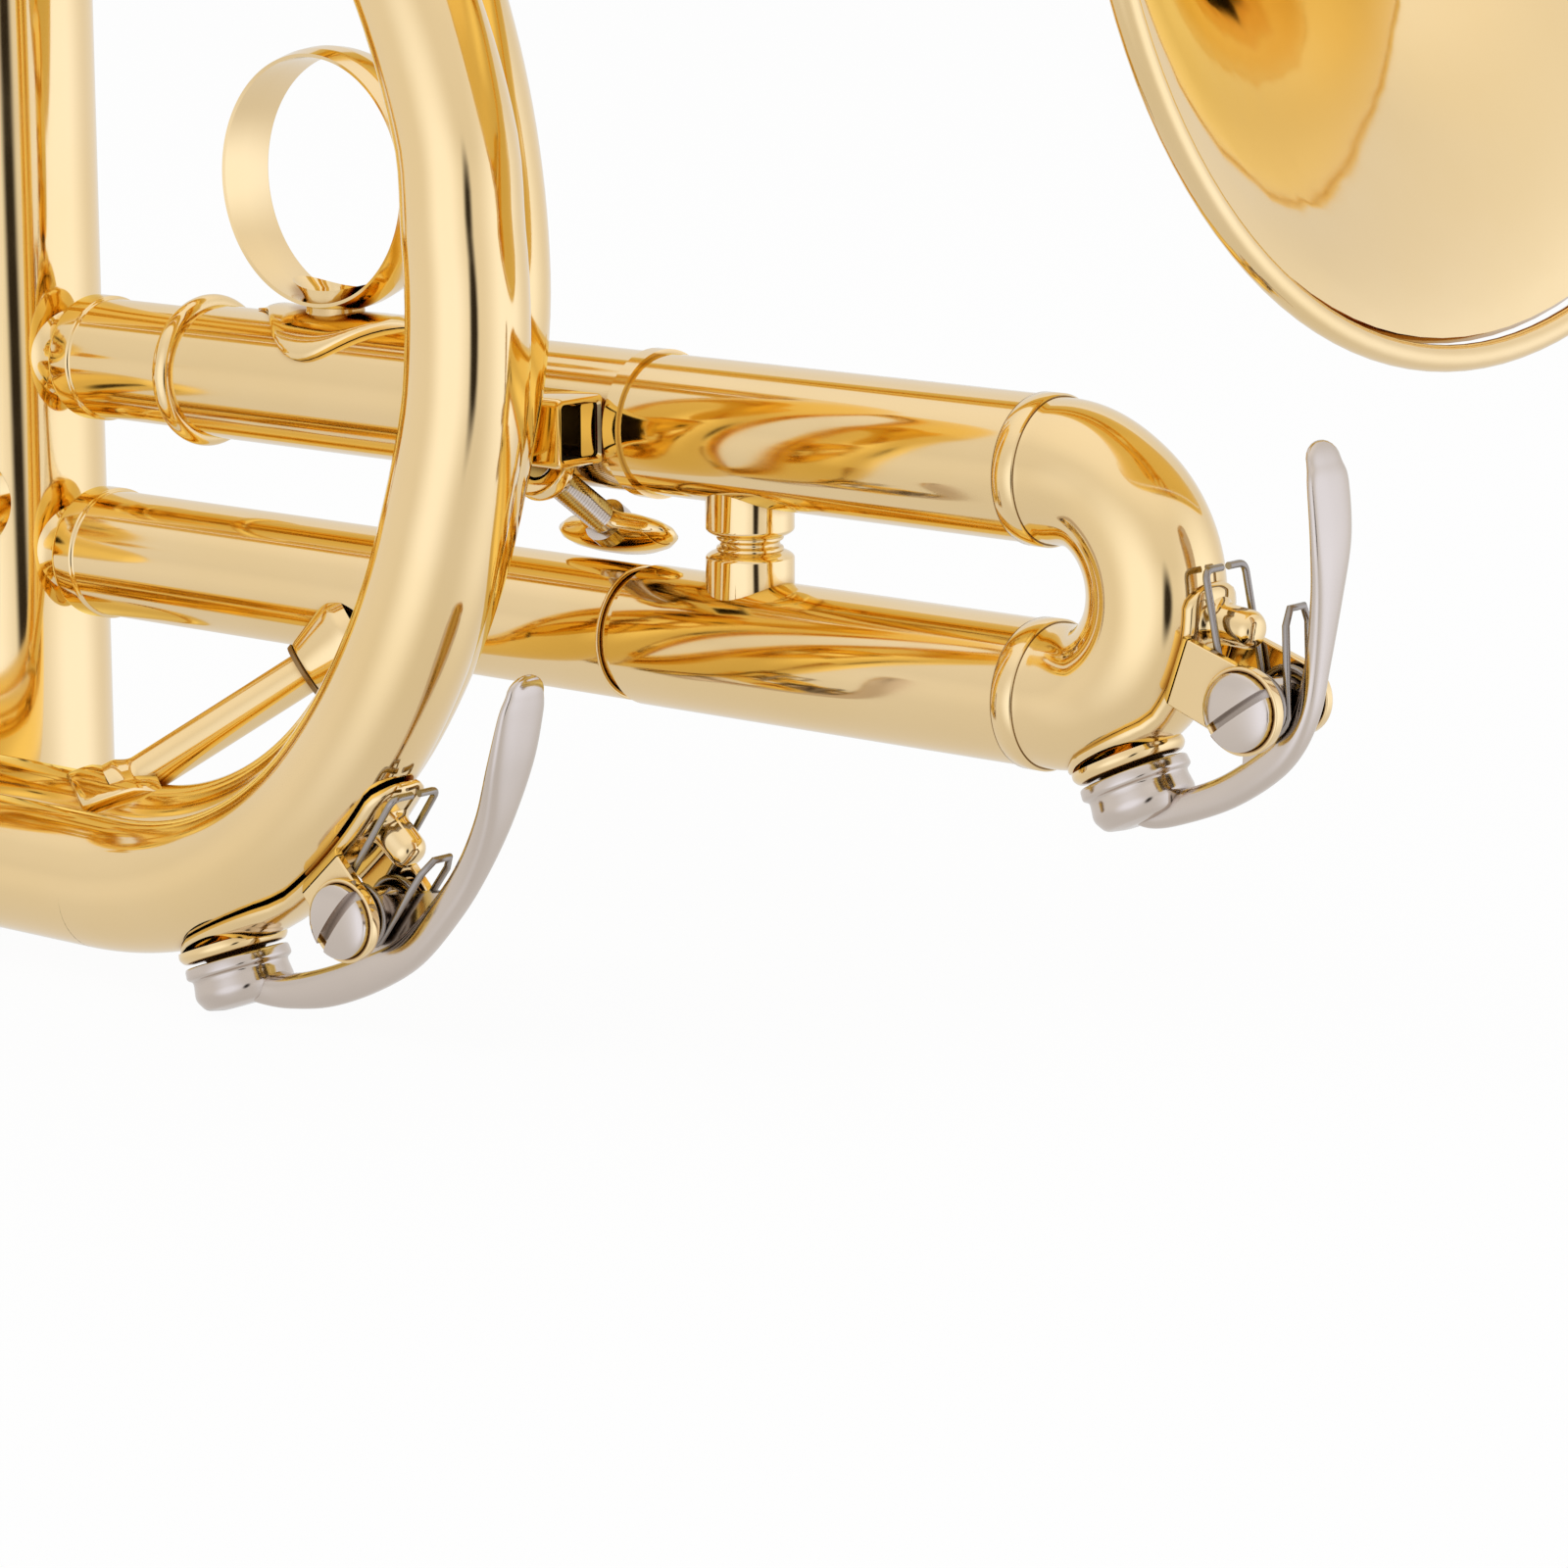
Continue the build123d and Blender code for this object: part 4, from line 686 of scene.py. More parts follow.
def make_ears(key):
    """Two ears with bent feet, the rim round the screw's head, the nut and the post."""
    spread = 3.1 / (key.bend_r + key.tube_r)
    root = key.bend_r + 1.06 * key.tube_r
    foot = key.bend_r + 0.85 * key.tube_r
    edges = [polar(angle) for angle in (key.pivot - spread, key.pivot + spread)]
    form = Form()
    for outer, inner in ((-EAR_OUTER, -EAR_INNER), (EAR_OUTER, EAR_INNER)):
        rings = []
        for slide, reach in ((0, root), (0.4, root - 0.6), (1.3, foot)):
            first, last = (key.centre + edge * reach for edge in edges)
            shift = key.pin.y + (slide if outer < 0 else -slide)
            corners = ((first, outer), (last, outer), (last, inner), (first, inner))
            rings.append([vec(p.x, y + shift, p.z) for p, y in corners])
        form.grid(rings, caps=(False, True))
    stand = (key.pin - key.centre).normalized()
    side = vec(-stand.z, 0, stand.x)
    bow = [side * cos(t) + stand * sin(t) for t in (pi * i / 24 for i in range(25))]
    plate = [key.centre + edge * root for edge in edges] + [key.pin + p * EAR_TOP_R for p in bow]
    for y in (-EAR_OUTER, EAR_INNER):
        form.prism([vec(p.x, key.pin.y + y, p.z) for p in plate], LEFT * EAR_THICK)
    ears = form.make(f"ears_{key.number}", GOLD, key.host, key.node("saddle"), crease=35)
    modifier = ears.modifiers.new("edges", "BEVEL")
    modifier.width = EAR_BEVEL * MM
    modifier.segments = 3
    modifier.limit_method = "ANGLE"
    modifier.angle_limit = radians(35)
    modifier.harden_normals = True
    rim = [(0, 3.3), (-0.6, 3.5), (-0.6, 3.9), (0.5, 3.9), (0.5, 3.3)]
    head = key.at(0, 0, -HEAD_OUT)
    key.turned("head_rim", head, LEFT, rim, size=0.2, sides=72, closed=True, crease=45)
    nut = [(0, 0), (0, 2.0), (1.2, 2.0), (1.7, 1.2), (1.7, 0)]
    key.turned("nut", key.at(0, 0, EAR_OUTER), LEFT, nut, sides=40)
    way = polar(radians(key.post))
    base = key.centre + way * (key.bend_r + key.tube_r)
    post = [(-0.6, 3.0), (0.3, 2.7), (1.1, 1.85), (4.2, 1.75), (4.9, 1.2), (5.1, 0)]
    key.turned("post", base, way, post, size=0.5, sides=40)


def make_pivot_screw(key):
    """The pivot screw, with a domed and slotted head on its right end."""
    tilt = radians(key.slot[0])
    slot = key.slot[1]
    marks = [m * SCREW_R for m in (1, 0.99, 0.96, 0.9, 0.8, 0.65, 0.45, 0.28, 0.18)]
    marks += [slot, slot * 0.94]
    face = key.at(0, 0, -HEAD_OUT)
    u_axis = polar(tilt)
    v_axis = vec(-sin(tilt), 0, cos(tilt))
    rows = []
    for v in [-mark for mark in marks] + marks[::-1]:
        chord = sqrt(max(0.0, SCREW_R**2 - v**2))
        row = []
        for u in (chord * sin(pi / 2 * (i / 12 - 1)) for i in range(25)):
            dome = 1.1 + 0.85 * sqrt(max(0.0, 1 - (u * u + v * v) / (SCREW_R * 1.02) ** 2))
            sunk = 1.0 if abs(v) < slot * 0.97 else 0.0
            row.append(face + u_axis * u + v_axis * v - LEFT * (dome - sunk))
        rows.append(row if chord > 1e-6 else [row[12]])
    rim = [row[0] for row in rows] + [row[-1] for row in rows[::-1][1:-1]]
    form = Form().grid(rows, close_rings=False)
    form.grid([rim, [vec(p.x, face.y, p.z) for p in rim]])
    shank = [(0, 0), (0, 1.2), (9.6, 1.2), (9.6, 0)]
    form.lathe(key.at(0, 0, -4.4), LEFT, shank, sides=32)
    form.make(f"pivot_{key.number}", NICKEL, key.host, key.node("screw"), crease=30)


for key in KEYS:
    make_lever(key)
    make_cup(key)
    make_wire(key)
    make_strap(key)
    make_ears(key)
    make_pivot_screw(key)

# ---- third slide fittings

RING_R = 13.1
RING_BAND = 3.1  # half width
RING_RAISED = 1.0
RING_X = middle("finger_ring").x
RING_Z = box("finger_ring")[1].z + RING_RAISED - RING_R
NECK_R = RING_R - 0.6  # of the arc that the neck's top follows
STUB_R = 4.15
COLLAR_START = 11.7  # from the casing's axis
FIXED_UPPER_END = 106.0
FIXED_UPPER_R = 6.1
FIXED_LOWER_R = 6.45


def make_finger_ring():
    """A crowned band on a short neck, over a leaf-shaped saddle with a wavy edge."""
    half = RING_BAND
    crown = [(-half, RING_R - 0.75), (-half / 2, RING_R - 0.3), (0, RING_R - 0.12)]
    crown += [(-along, radius) for along, radius in crown[-2::-1]]
    inside = [(half - 0.1, RING_R - 1.1), (0, RING_R - 1.15), (-half + 0.1, RING_R - 1.1)]
    centre = vec(RING_X, VALVE_Y, RING_Z)
    form = Form().lathe(centre, LEFT, soft(crown + inside, 0.25), sides=160, closed=True)
    rows = []
    for height, wide in ((0, 3.9), (0.5, 3.3), (1.0, 2.6), (1.8, 2.5), (2.6, 3.2), (3.2, 4.4)):
        spot = vec(RING_X, VALVE_Y, UPPER_Z + SLEEVE_R + height - 0.3)
        row = squircle(spot, FRONT * wide * 1.15, LEFT * min(wide, 2.5), 2.4, 40)
        if height > 1.5:
            drops = [sqrt(max(0.0, NECK_R**2 - (p.x - RING_X) ** 2)) for p in row]
            row = [p + UP * max(0.0, NECK_R - drop) * 0.8 for p, drop in zip(row, drops)]
        rows.append(row)
    form.grid(rows).make("finger_ring_band", GOLD, "third_slide", "finger_ring", crease=40)
    centre = vec(RING_X + 1.0, VALVE_Y, UPPER_Z)
    wave = lambda u: 7.0 * (0.5 + 0.5 * cos(pi * u)) ** 0.9 * (1 - 0.16 * u) + 0.25
    form = Form().saddle(centre, SLEEVE_R, 11.6, wave, 0.85, 36, gap=0.06)
    form.make("ring_saddle", GOLD, "third_slide", "finger_ring", crease=40)


def make_spool():
    """The spool between the slide's two tubes, its feet cut to their skins."""
    spool = middle("third_brace_spool")
    low = LOWER_Z + SLEEVE_R - 0.9
    tall = UPPER_Z - SLEEVE_R + 0.9 - low
    middle_bead = [(0.9, 2.8), (0.7, 3.15), (0.35, 3.15), (0.2, 2.8)]
    half = [(0, 4.15), (3.1, 4.15), (3.4, 3.8), (3.75, 3.0)]
    half += [(tall / 2 - below, radius) for below, radius in middle_bead]
    profile = soft(half + [(tall - along, radius) for along, radius in half[::-1]], 0.2)
    rows = []
    for i, (along, radius) in enumerate(profile):
        row = []
        for turn in turns(72):
            side = radius * sin(turn)
            z = low + along
            if i == 0:
                z = LOWER_Z + sqrt(SLEEVE_R**2 - side**2) - 0.05
            if i == len(profile) - 1:
                z = UPPER_Z - sqrt(SLEEVE_R**2 - side**2) + 0.05
            row.append(vec(spool.x + radius * cos(turn), spool.y + side, z))
        rows.append(row)
    Form().grid(rows).make("spool", GOLD, "third_slide", "third_brace_spool", crease=40)


def make_slide_front():
    """The bead on the open end, two seams on each leg, and the end bow with its collars."""
    rings = {"sides": 112, "closed": True, "crease": 60, "size": 0}
    start = vec(box("third_sleeve_upper")[0].x, VALVE_Y, UPPER_Z)
    section = bead(1.1, SLEEVE_R - 0.1, 1.1, 1.1, 28)
    turned("sleeve_bead", start, FRONT, section, "third_slide", **rings)
    rings["material"] = SEAM
    for name, z in (("upper", UPPER_Z), ("lower", LOWER_Z)):
        start = vec(FERRULE_X, VALVE_Y, z)
        for index, (ahead, rise) in enumerate(((0, 0.1), (2.2, 0.03)), 1):
            seam = ((-0.09, rise - 0.3), (-0.06, rise), (0.06, rise), (0.09, rise - 0.3))
            seam = [(ahead + along, SLEEVE_R + radius) for along, radius in seam]
            turned(f"seam_{name}_{index}", start, FRONT, seam, "third_slide", **rings)
    leg = ((0.03, 6.75), (0.2, 6.87), (2.0, 6.87), (2.15, 6.75), (2.25, 6.6), (2.6, 6.55))
    bend = arc(END_BOW, vec(END_BOW_X, VALVE_Y, UPPER_Z), LEFT, pi, 72)
    path = [vec(FERRULE_X + along, VALVE_Y, UPPER_Z) for along, _ in leg] + bend
    path += [vec(FERRULE_X + along, VALVE_Y, LOWER_Z) for along, _ in leg[::-1]]
    radii = [radius for _, radius in leg]
    bent = [max(0.0, 1 - min(i, len(bend) - 1 - i) / 14) for i in range(len(bend))]
    radii = radii + [END_BOW_R + 0.34 * eased(share) for share in bent] + radii[::-1]
    form = Form().tube(path, radii, sides=112)
    form.make("end_bow_tube", GOLD, "third_slide", "third_bow", crease=40)


def make_stubs():
    """Casing 3's wall, its two narrow stubs, their ferrules and the fixed tubes."""
    casing = VALVES[2]
    tall = span("valve_casing_3").z
    wall = [(0, CASING_R - WALL), (0, CASING_R), (tall, CASING_R), (tall, CASING_R - WALL)]
    foot = vec(casing.x, casing.y, box("valve_casing_3")[0].z)
    form = Form().lathe(foot, UP, wall, sides=128, closed=True)
    form.make("casing_wall_3", GOLD, "body", "valve_casing_3", crease=40)
    lower_end = box("third_sleeve_lower")[0].x - 1.5 - casing.x
    for name, z, outer, bore, end, node in (
        ("upper", UPPER_Z, FIXED_UPPER_R, 5.4, FIXED_UPPER_END, "third_inner_upper"),
        ("lower", LOWER_Z, FIXED_LOWER_R, FIXED_LOWER_R - WALL, lower_end, "third_outer_lower"),
    ):
        rows = []
        for ahead, radius in ((-0.1, 4.7), (0.2, 4.45), (0.7, 4.25), (1.4, STUB_R), (12.2, STUB_R)):
            row = []
            for turn in turns(72):
                side = radius * cos(turn)
                on_casing = sqrt(CASING_R**2 - side**2) if ahead < COLLAR_START else 0
                spot = (casing.x + on_casing + ahead, casing.y + side, z + radius * sin(turn))
                row.append(Vector(spot))
            rows.append(row)
        full = outer + 0.3
        collar = [
            (COLLAR_START, 3.5), (COLLAR_START + 0.1, outer - 1.3), (12.9, full), (15.6, full),
            (15.8, outer), (end, outer), (end, bore), (30.0, bore),
        ]
        form = Form().grid(rows)
        form.lathe(vec(casing.x, casing.y, z), FRONT, soft(collar, 0.5), sides=112)
        form.make(f"fixed_tube_{name}", GOLD, "body", node, crease=40)


# ---- lyre holder and side brace

LYRE_HOLE = 2.5  # half width
LYRE_RAISED = 3.8  # of the box's centre above the screw's start
WING_TILT = -6
WING_OUT = 11.1
THREADS = 26
THREAD_STEP = 0.38
SCREW_AXIS = Vector(joint("lyre_screw_turn")["axis"]).normalized()
SCREW_START = Vector(joint("lyre_screw_turn")["pos_m"]) / MM
BRACE_TOP = vec(BOW_2_X + 10.8, VALVE_Y - 8.0, LOWER_Z - 7.6)
BRACE_FOOT = vec(BOW_2_X - 1.2, BOW_2_Y, BOW_2_LOW + 5.7)


def rounded_square(x, half, corner, shift=0.0, steps=5):
    """An upright square with rounded corners, round the lyre box's centre line."""
    centre = vec(x, SCREW_START.y + shift, SCREW_START.z + LYRE_RAISED)
    ring = []
    for i, (wide, tall) in enumerate(((1, 1), (-1, 1), (-1, -1), (1, -1))):
        for t in (pi / 2 * (i + step / steps) for step in range(steps + 1)):
            y = wide * (half - corner) + corner * cos(t)
            z = tall * (half - corner) + corner * sin(t)
            ring.append(centre + LEFT * y + UP * z)
    return ring


def make_lyre_holder():
    """A square tube with a rim round its hole, a near-black sheet of painted shadow inside it, and its thumb screw
    with an oval wing.
    """
    back, front = (corner.x for corner in box("lyre_holder"))
    hole = LYRE_HOLE
    shell = (
        (back, hole, 0.35), (back, 3.1, 0.8), (back + 0.3, 3.3, 0.8), (front - 0.35, 3.3, 0.8),
        (front - 0.05, 3.15, 0.7), (front, 3.0, 0.65), (front, hole + 0.25, 0.5),
        (front - 0.25, hole, 0.35),
    )
    form = Form().grid([rounded_square(*ring) for ring in shell])
    bridge = [rounded_square(x, 2.7, 0.6, 3.2) for x in (back + 0.4, front - 0.5)]
    form.grid(bridge, caps=(True, True))
    boss = [(-0.4, 1.6), (-0.4, 3.1), (0.9, 3.1), (1.8, 2.5), (1.9, 1.6)]
    form.lathe(SCREW_START, SCREW_AXIS, soft(boss, 0.35), sides=48)
    form.make("lyre_box", GOLD, "third_slide", "lyre_holder", crease=35)
    # painted shadow: a near-black sheet inside the hole stands in for its shade
    shadow_rings = [rounded_square(x, hole - 0.03, 0.35) for x in (back + 0.3, front - 0.45)]
    Form().grid(shadow_rings).make("lyre_hole_shadow", PAINTED_BORE_SHADOW, "third_slide", "lyre_holder")
    shaft = [(-0.5, 0), (-0.5, 1.3)]
    for along in (i * THREAD_STEP for i in range(THREADS)):
        shaft += [(0.1 + along, 1.5), (0.1 + THREAD_STEP / 2 + along, 1.3)]
    shaft += [(10.4, 1.5), (10.5, 2.2), (12.0, 2.2), (12.3, 1.7), (12.4, 0)]
    screw = ("lyre_clamp_screw", "lyre_screw")
    form = Form().lathe(SCREW_START, SCREW_AXIS, shaft, sides=48)
    form.make("lyre_screw_shaft", NICKEL, *screw, crease=30)
    wing = Matrix.Rotation(radians(WING_TILT), 3, SCREW_AXIS) @ FRONT
    rise = wing.cross(SCREW_AXIS)
    rows = []
    for along, wide, deep in (
        (-1.5, 1.7, 1.1), (-0.8, 2.5, 1.1), (-0.1, 4.9, 1.15),
        (0.8, 6.3, 1.25), (2.0, 6.8, 1.35), (3.2, 6.5, 1.25),
        (4.3, 5.2, 1.05), (5.1, 3.4, 0.8), (5.55, 1.3, 0.4),
    ):
        centre = SCREW_START + SCREW_AXIS * (WING_OUT + along) - wing * 0.3
        rows.append(squircle(centre, wing * wide, rise * deep, 2.3, 48))
    Form().grid(rows, caps=(True, True)).make("lyre_wing", GOLD, *screw, crease=50)


def make_side_brace():
    """A turned rod from a conical socket on the slide to a diamond foot on the bow."""
    way = (BRACE_FOOT - BRACE_TOP).normalized()
    long = (BRACE_FOOT - BRACE_TOP).length
    rod = [(-1.2, 2.1), (long - 1.6, 2.1), (long - 0.9, 2.5), (long - 0.2, 2.9), (long + 1, 3.0)]
    form = Form().lathe(BRACE_TOP, way, soft(rod, 0.5), sides=64)
    socket = [(-7.6, 4.7), (-6.2, 4.8), (-5.4, 4.6), (-1.3, 3.1), (-0.8, 2.7), (-0.8, 2.0)]
    form.lathe(BRACE_TOP, way, soft(socket, 0.35), sides=72)
    form.make("brace_rod", GOLD, "body", "side_brace", crease=40)
    seam = [(-1.05, 3.0), (-0.95, 3.1), (-0.55, 2.95), (-0.5, 2.0)]
    form = Form().lathe(BRACE_TOP, way, seam, sides=64)
    form.make("brace_seam", SEAM, "body", "side_brace", crease=40)
    centre = vec(BRACE_FOOT.x - 0.5, BOW_2_Y, BOW_2_LOW)
    diamond = lambda u: 4.3 * (1 - abs(u)) + 0.3
    form = Form().saddle(centre, BOW_2_R, 6.6, diamond, 0.9, 20, shift=-1.2)
    form.make("brace_foot", GOLD, "body", "side_brace", crease=40)


# ---- valves

KNURLS = 90
KNURL_DEEP = 0.25
SPRING_WIRE_R = 0.45
SPRING_TURNS = 6
BUTTON_TALL = 3.0


def make_caps(number, valve):
    """A top cap with a knurled band and a raised collar, and a bottom cap with a vent."""
    inner = CASING_R + 0.03
    skirt = soft([(0, inner), (0, CAP_R - 0.2), (0.6, CAP_R), (1.1, CAP_R - 0.2)], 0.2)
    band = [(1.1, CAP_R - 0.35), (1.2, CAP_R - 0.25), (5.2, CAP_R - 0.25), (5.3, CAP_R - 0.35)]
    top = span("top_caps").z
    crown = [
        (5.3, CAP_R - 0.3), (5.7, CAP_R), (6.6, CAP_R), (7.6, CAP_R - 0.9),
        (top - 1.25, CAP_R - 3.2), (top - 1.1, CAP_R - 3.9), (top - 0.3, CAP_R - 4.1),
        (top, CAP_R - 4.5), (top, 2.5), (top - 2.6, 2.5),
    ]
    tall = span("bottom_caps").z
    base = [
        (0.9, 0), (0.9, 1.2), (0, 1.3), (0, CAP_R - 2.6), (0.35, CAP_R - 2.2),
        (0.35, CAP_R - 1.2), (0, CAP_R - 0.9), (0.2, CAP_R - 0.15), (0.7, CAP_R),
        (tall - 0.5, CAP_R), (tall, CAP_R - 0.3), (tall, inner),
    ]
    start = vec(valve.x, valve.y, box("top_caps")[0].z)
    form = Form().lathe(start, UP, skirt, sides=96)
    ridges = lambda turn: KNURL_DEEP * (0.5 + 0.5 * cos(turn * KNURLS))
    form.lathe(start, UP, band, sides=360, wobble=ridges)
    form.lathe(start, UP, soft(crown, 0.35), sides=96)
    form.make(f"top_cap_{number}", GOLD, "body", "top_caps", crease=35)
    start = vec(valve.x, valve.y, box("bottom_caps")[0].z)
    form = Form().lathe(start, UP, soft(base, 0.25), sides=128)
    form.make(f"bottom_cap_{number}", GOLD, "body", "bottom_caps", crease=35)


def make_button(number, valve):
    """A stem with felts under its button, and a pearl disc with a rim."""
    node = f"valve_stem_{number}"
    body = f"valve_{number}"
    radius = span(node).x / 2
    top = box(node)[1].z - BUTTON_TALL
    foot = box(node)[0].z - top
    disc = [
        (1.55, 0), (1.55, radius - 1.15), (3.0, radius - 1.0), (3.0, radius - 0.35),
        (2.4, radius), (0.8, radius), (0.1, radius - 0.7), (0.0, 4.0), (-0.9, 3.6),
        (-2.3, 3.3), (-2.4, 2.1), (foot + 3, 2.1), (foot + 3, 4.4), (foot, 4.4), (foot, 0),
    ]
    start = vec(valve.x, valve.y, top)
    turned(f"button_{number}", start, UP, disc, body, node, crease=35)
    node = f"button_pearl_{number}"
    wide = span(node).x / 2
    dome = [(0, 0), (0, wide), (0.9, wide), (1.35, wide - 0.8), (1.68, wide * 0.55), (1.7, 0)]
    start = vec(valve.x, valve.y, box(node)[0].z)
    form = Form().lathe(start, UP, soft(dome, 0.35), sides=80)
    form.make(f"pearl_{number}", PEARL, body, node)


def make_valve_spring(number, valve):
    """A coil under the piston."""
    node = f"valve_spring_{number}"
    low, high = box(node)
    reach = (high.x - low.x) / 2 - SPRING_WIRE_R
    rise = high.z - low.z - 2 * SPRING_WIRE_R
    steps = 40 * SPRING_TURNS
    path = []
    for t in (i / steps for i in range(steps + 1)):
        share = t + 0.03 * sin(2 * pi * t)
        z = low.z + SPRING_WIRE_R + rise * (1 - share if share > 1 else share)
        turn = 2 * pi * SPRING_TURNS * t
        path.append(vec(valve.x + reach * cos(turn), valve.y + reach * sin(turn), z))
    form = Form().tube(path, SPRING_WIRE_R, sides=14, caps=(True, True))
    foot = vec(valve.x, valve.y, low.z + 1.0)
    head = vec(valve.x, valve.y, high.z - 0.5)
    body = ("body", f"valve_{number}", foot, head)
    form.make(f"piston_spring_{number}", STEEL, body, node, crease=60)


# ---- front bows


def make_bow(name, x, y, top, low, reach, near_r, far_r, drift):
    """An oval bow of three arcs, eased forwards by drift, a table of (z, shift)."""
    shoulder = (top - low) / 2 - CORNER_R
    bulge = reach - CORNER_R
    set_back = (shoulder**2 - bulge**2) / (2 * bulge)
    lean = atan2(shoulder, set_back)
    upper = vec(x, y, top - CORNER_R)
    front = vec(x - set_back, y, (top + low) / 2)
    lower = vec(x, y, low + CORNER_R)
    path = arc(upper, vec(x, y, top), LEFT, pi / 2 - lean, 28)
    path += arc(front, front + polar(lean) * (reach + set_back), LEFT, 2 * lean, 48)[1:]
    path += arc(lower, lower + polar(-lean) * CORNER_R, LEFT, pi / 2 - lean, 28)[1:]
    shifted = [path[0]]
    for spot in path:
        shift = 0.0
        for (high_z, high_shift), (low_z, low_shift) in zip(drift, drift[1:]):
            if high_z >= spot.z >= low_z:
                t = (high_z - spot.z) / (high_z - low_z)
                shift = high_shift + (low_shift - high_shift) * eased(t)
                break
        shifted.append(spot + FRONT * shift)
    count = len(shifted) - 1
    radii = [near_r + (far_r - near_r) * i / count for i in range(count + 1)]
    form = Form().tube(shifted, radii, sides=112)
    form.make(f"{name}_tube", GOLD, "body", name, crease=60)


def make_bows():
    """The front bows, a little further forward than their CAD nodes, as photographed."""
    drift = ((0.5, 1.7), (-41.0, 1.7), (-50.0, 0.85), (-62.0, 0.7), (-76.0, 0.0))
    make_bow("front_bow", BOW_1_X, 0.0, 0.0, BOW_1_LOW, 48.0, LEAD_END_R, TUBE_R, drift)
    drift = ((BOW_2_TOP + 0.5, 1.05), (-55.0, 1.05), (-76.0, 0.0))
    ends = (BOW_2_TOP, BOW_2_LOW, 47.0, BOW_2_R, BOW_2_R)
    make_bow("second_bow", BOW_2_X, BOW_2_Y, *ends, drift)


# ---- leadpipe and slide details


def make_leadpipe_ends():
    """The receiver with its bead and collar, and the little finger's hook, a bent strip."""
    long = span("mouthpiece_receiver").x
    profile = [
        (24.0, 4.75), (0.6, 4.85), (0.0, 5.25), (0.0, 6.9), (0.7, 7.5), (3.6, 7.55),
        (4.4, 7.1), (4.8, 6.5), (8.0, 6.35), (long - 5.0, 5.75), (long - 4.5, 6.3),
        (long - 3.9, 6.4), (long - 2.0, 6.35), (long - 1.2, 5.9), (long, 5.2), (long, 4.6),
    ]
    start = vec(box("mouthpiece_receiver")[0].x, 0, middle("mouthpiece_receiver").z)
    form = Form().lathe(start, FRONT, soft(profile, 0.4), sides=112)
    form.make("receiver", GOLD, "body", "mouthpiece_receiver", crease=40)
    centre = vec(168.0, 0, LEAD_END_R + 12)
    path = [centre + vec(-9.3, 0, -9.0), centre + vec(-5.0, 0, -10.2)]
    path += arc(centre, centre - UP * 10.2, LEFT, -pi, 40)
    last = len(path) - 1
    halves = [3.6 * (1 - 0.25 * i / last) for i in range(last)] + [3.6 * 0.75 * 0.8]
    rows = side_strip(path, halves, 0.8, 3.2, 36)
    form = Form().grid(rows, caps=(True, False))
    tip = squircle(path[-1] - FRONT * 0.5, LEFT * 1.8, UP * 0.35, 2.4, 36)
    form.grid([rows[-1], tip], caps=(False, True))
    form.make("little_finger_hook", GOLD, "body", "finger_hook", crease=45)


def make_thumb_saddle():
    """A V of two rounded leaves on a half ring round the first slide's tube."""
    middle_x = middle("thumb_saddle").x
    base = UPPER_Z + TUBE_R + 0.6
    centre = vec(middle_x, VALVE_Y, UPPER_Z)
    barrel = lambda u: 8.6 * (1 - 0.45 * u * u)
    form = Form().saddle(centre, TUBE_R, 7.8, barrel, 0.85, 20)
    tall = box("thumb_saddle")[1].z - base - 0.3
    leaf = ((8.6, tall, 3.6), (7.0, tall * 0.72, 5.5), (4.6, tall * 0.36, 5.9), (2.2, 1.5, 5.6))
    marks = [(-x, z, half) for x, z, half in leaf] + [(0.0, 0.7, 5.4), *leaf[::-1]]
    marks = spline(marks, 6)
    path = [vec(middle_x + x, VALVE_Y, base + z) for x, z, _ in marks]
    rows = side_strip(path, [half for _, _, half in marks], 0.5, 2.6, 44)
    form.grid(rows, caps=(True, True))
    form.make("thumb_leaves", GOLD, "first_slide", "thumb_saddle", crease=50)


def make_slide_details():
    """The second slide's pull knob, and beads at the mouths of the first and second slide."""
    start = middle("second_slide_bow")
    start.y = box("second_slide_bow")[0].y
    knob = [
        (0, 0), (0, 2.4), (0.3, 3.2), (0.9, 3.5), (1.6, 3.4),
        (2.0, 2.6), (2.6, 1.8), (4.6, 1.6), (5.9, 2.4),
    ]
    turned("pull_knob", start, LEFT, knob, "second_slide", sides=72, crease=40)
    mouths = box("small_outer_tubes")[0]
    rings = {"sides": 96, "closed": True, "crease": 60, "size": 0}
    section = bead(0.9, TUBE_R - 0.05, 0.9, 0.7, 20)
    for number, z in enumerate((UPPER_Z, LOWER_Z), 1):
        start = vec(mouths.x, VALVE_Y, z)
        turned(f"first_mouth_bead_{number}", start, FRONT, section, "body", **rings)
    for number, z in enumerate((UPPER_Z, UPPER_Z + PITCH), 1):
        start = vec(VALVES[1].x, mouths.y, z)
        turned(f"second_mouth_bead_{number}", start, LEFT, section, "body", **rings)


make_finger_ring()
make_thumb_saddle()
make_slide_details()
make_spool()
make_slide_front()
make_stubs()
make_lyre_holder()
make_side_brace()
for make_part in (make_caps, make_button, make_valve_spring):
    for valve_number, casing_middle in enumerate(VALVES, 1):
        make_part(valve_number, casing_middle)
make_bows()
make_leadpipe_ends()


# ---- stage, light and camera

WHITE = (1, 1, 1, 1)
LAMP_WHITE = (1.10, 1.17, 1.32)
TENT_GAP = (0.03, 0.025, 0.02)
# The tent, as (share of the way up the sky, grey).
TENT = ((0.0, 0.70), (0.30, 0.76), (0.44, 0.82), (0.52, 0.82))
TENT += ((0.60, 0.78), (0.78, 0.82), (0.90, 0.95), (1.0, 1.0))
SKY_STRENGTH = 0.55
FLOOR_HALF_M = 3.0
FLOOR_GAP_M = 0.0002
FLOOR_GLOW = 0.96  # share of plain white in what the camera sees of the floor


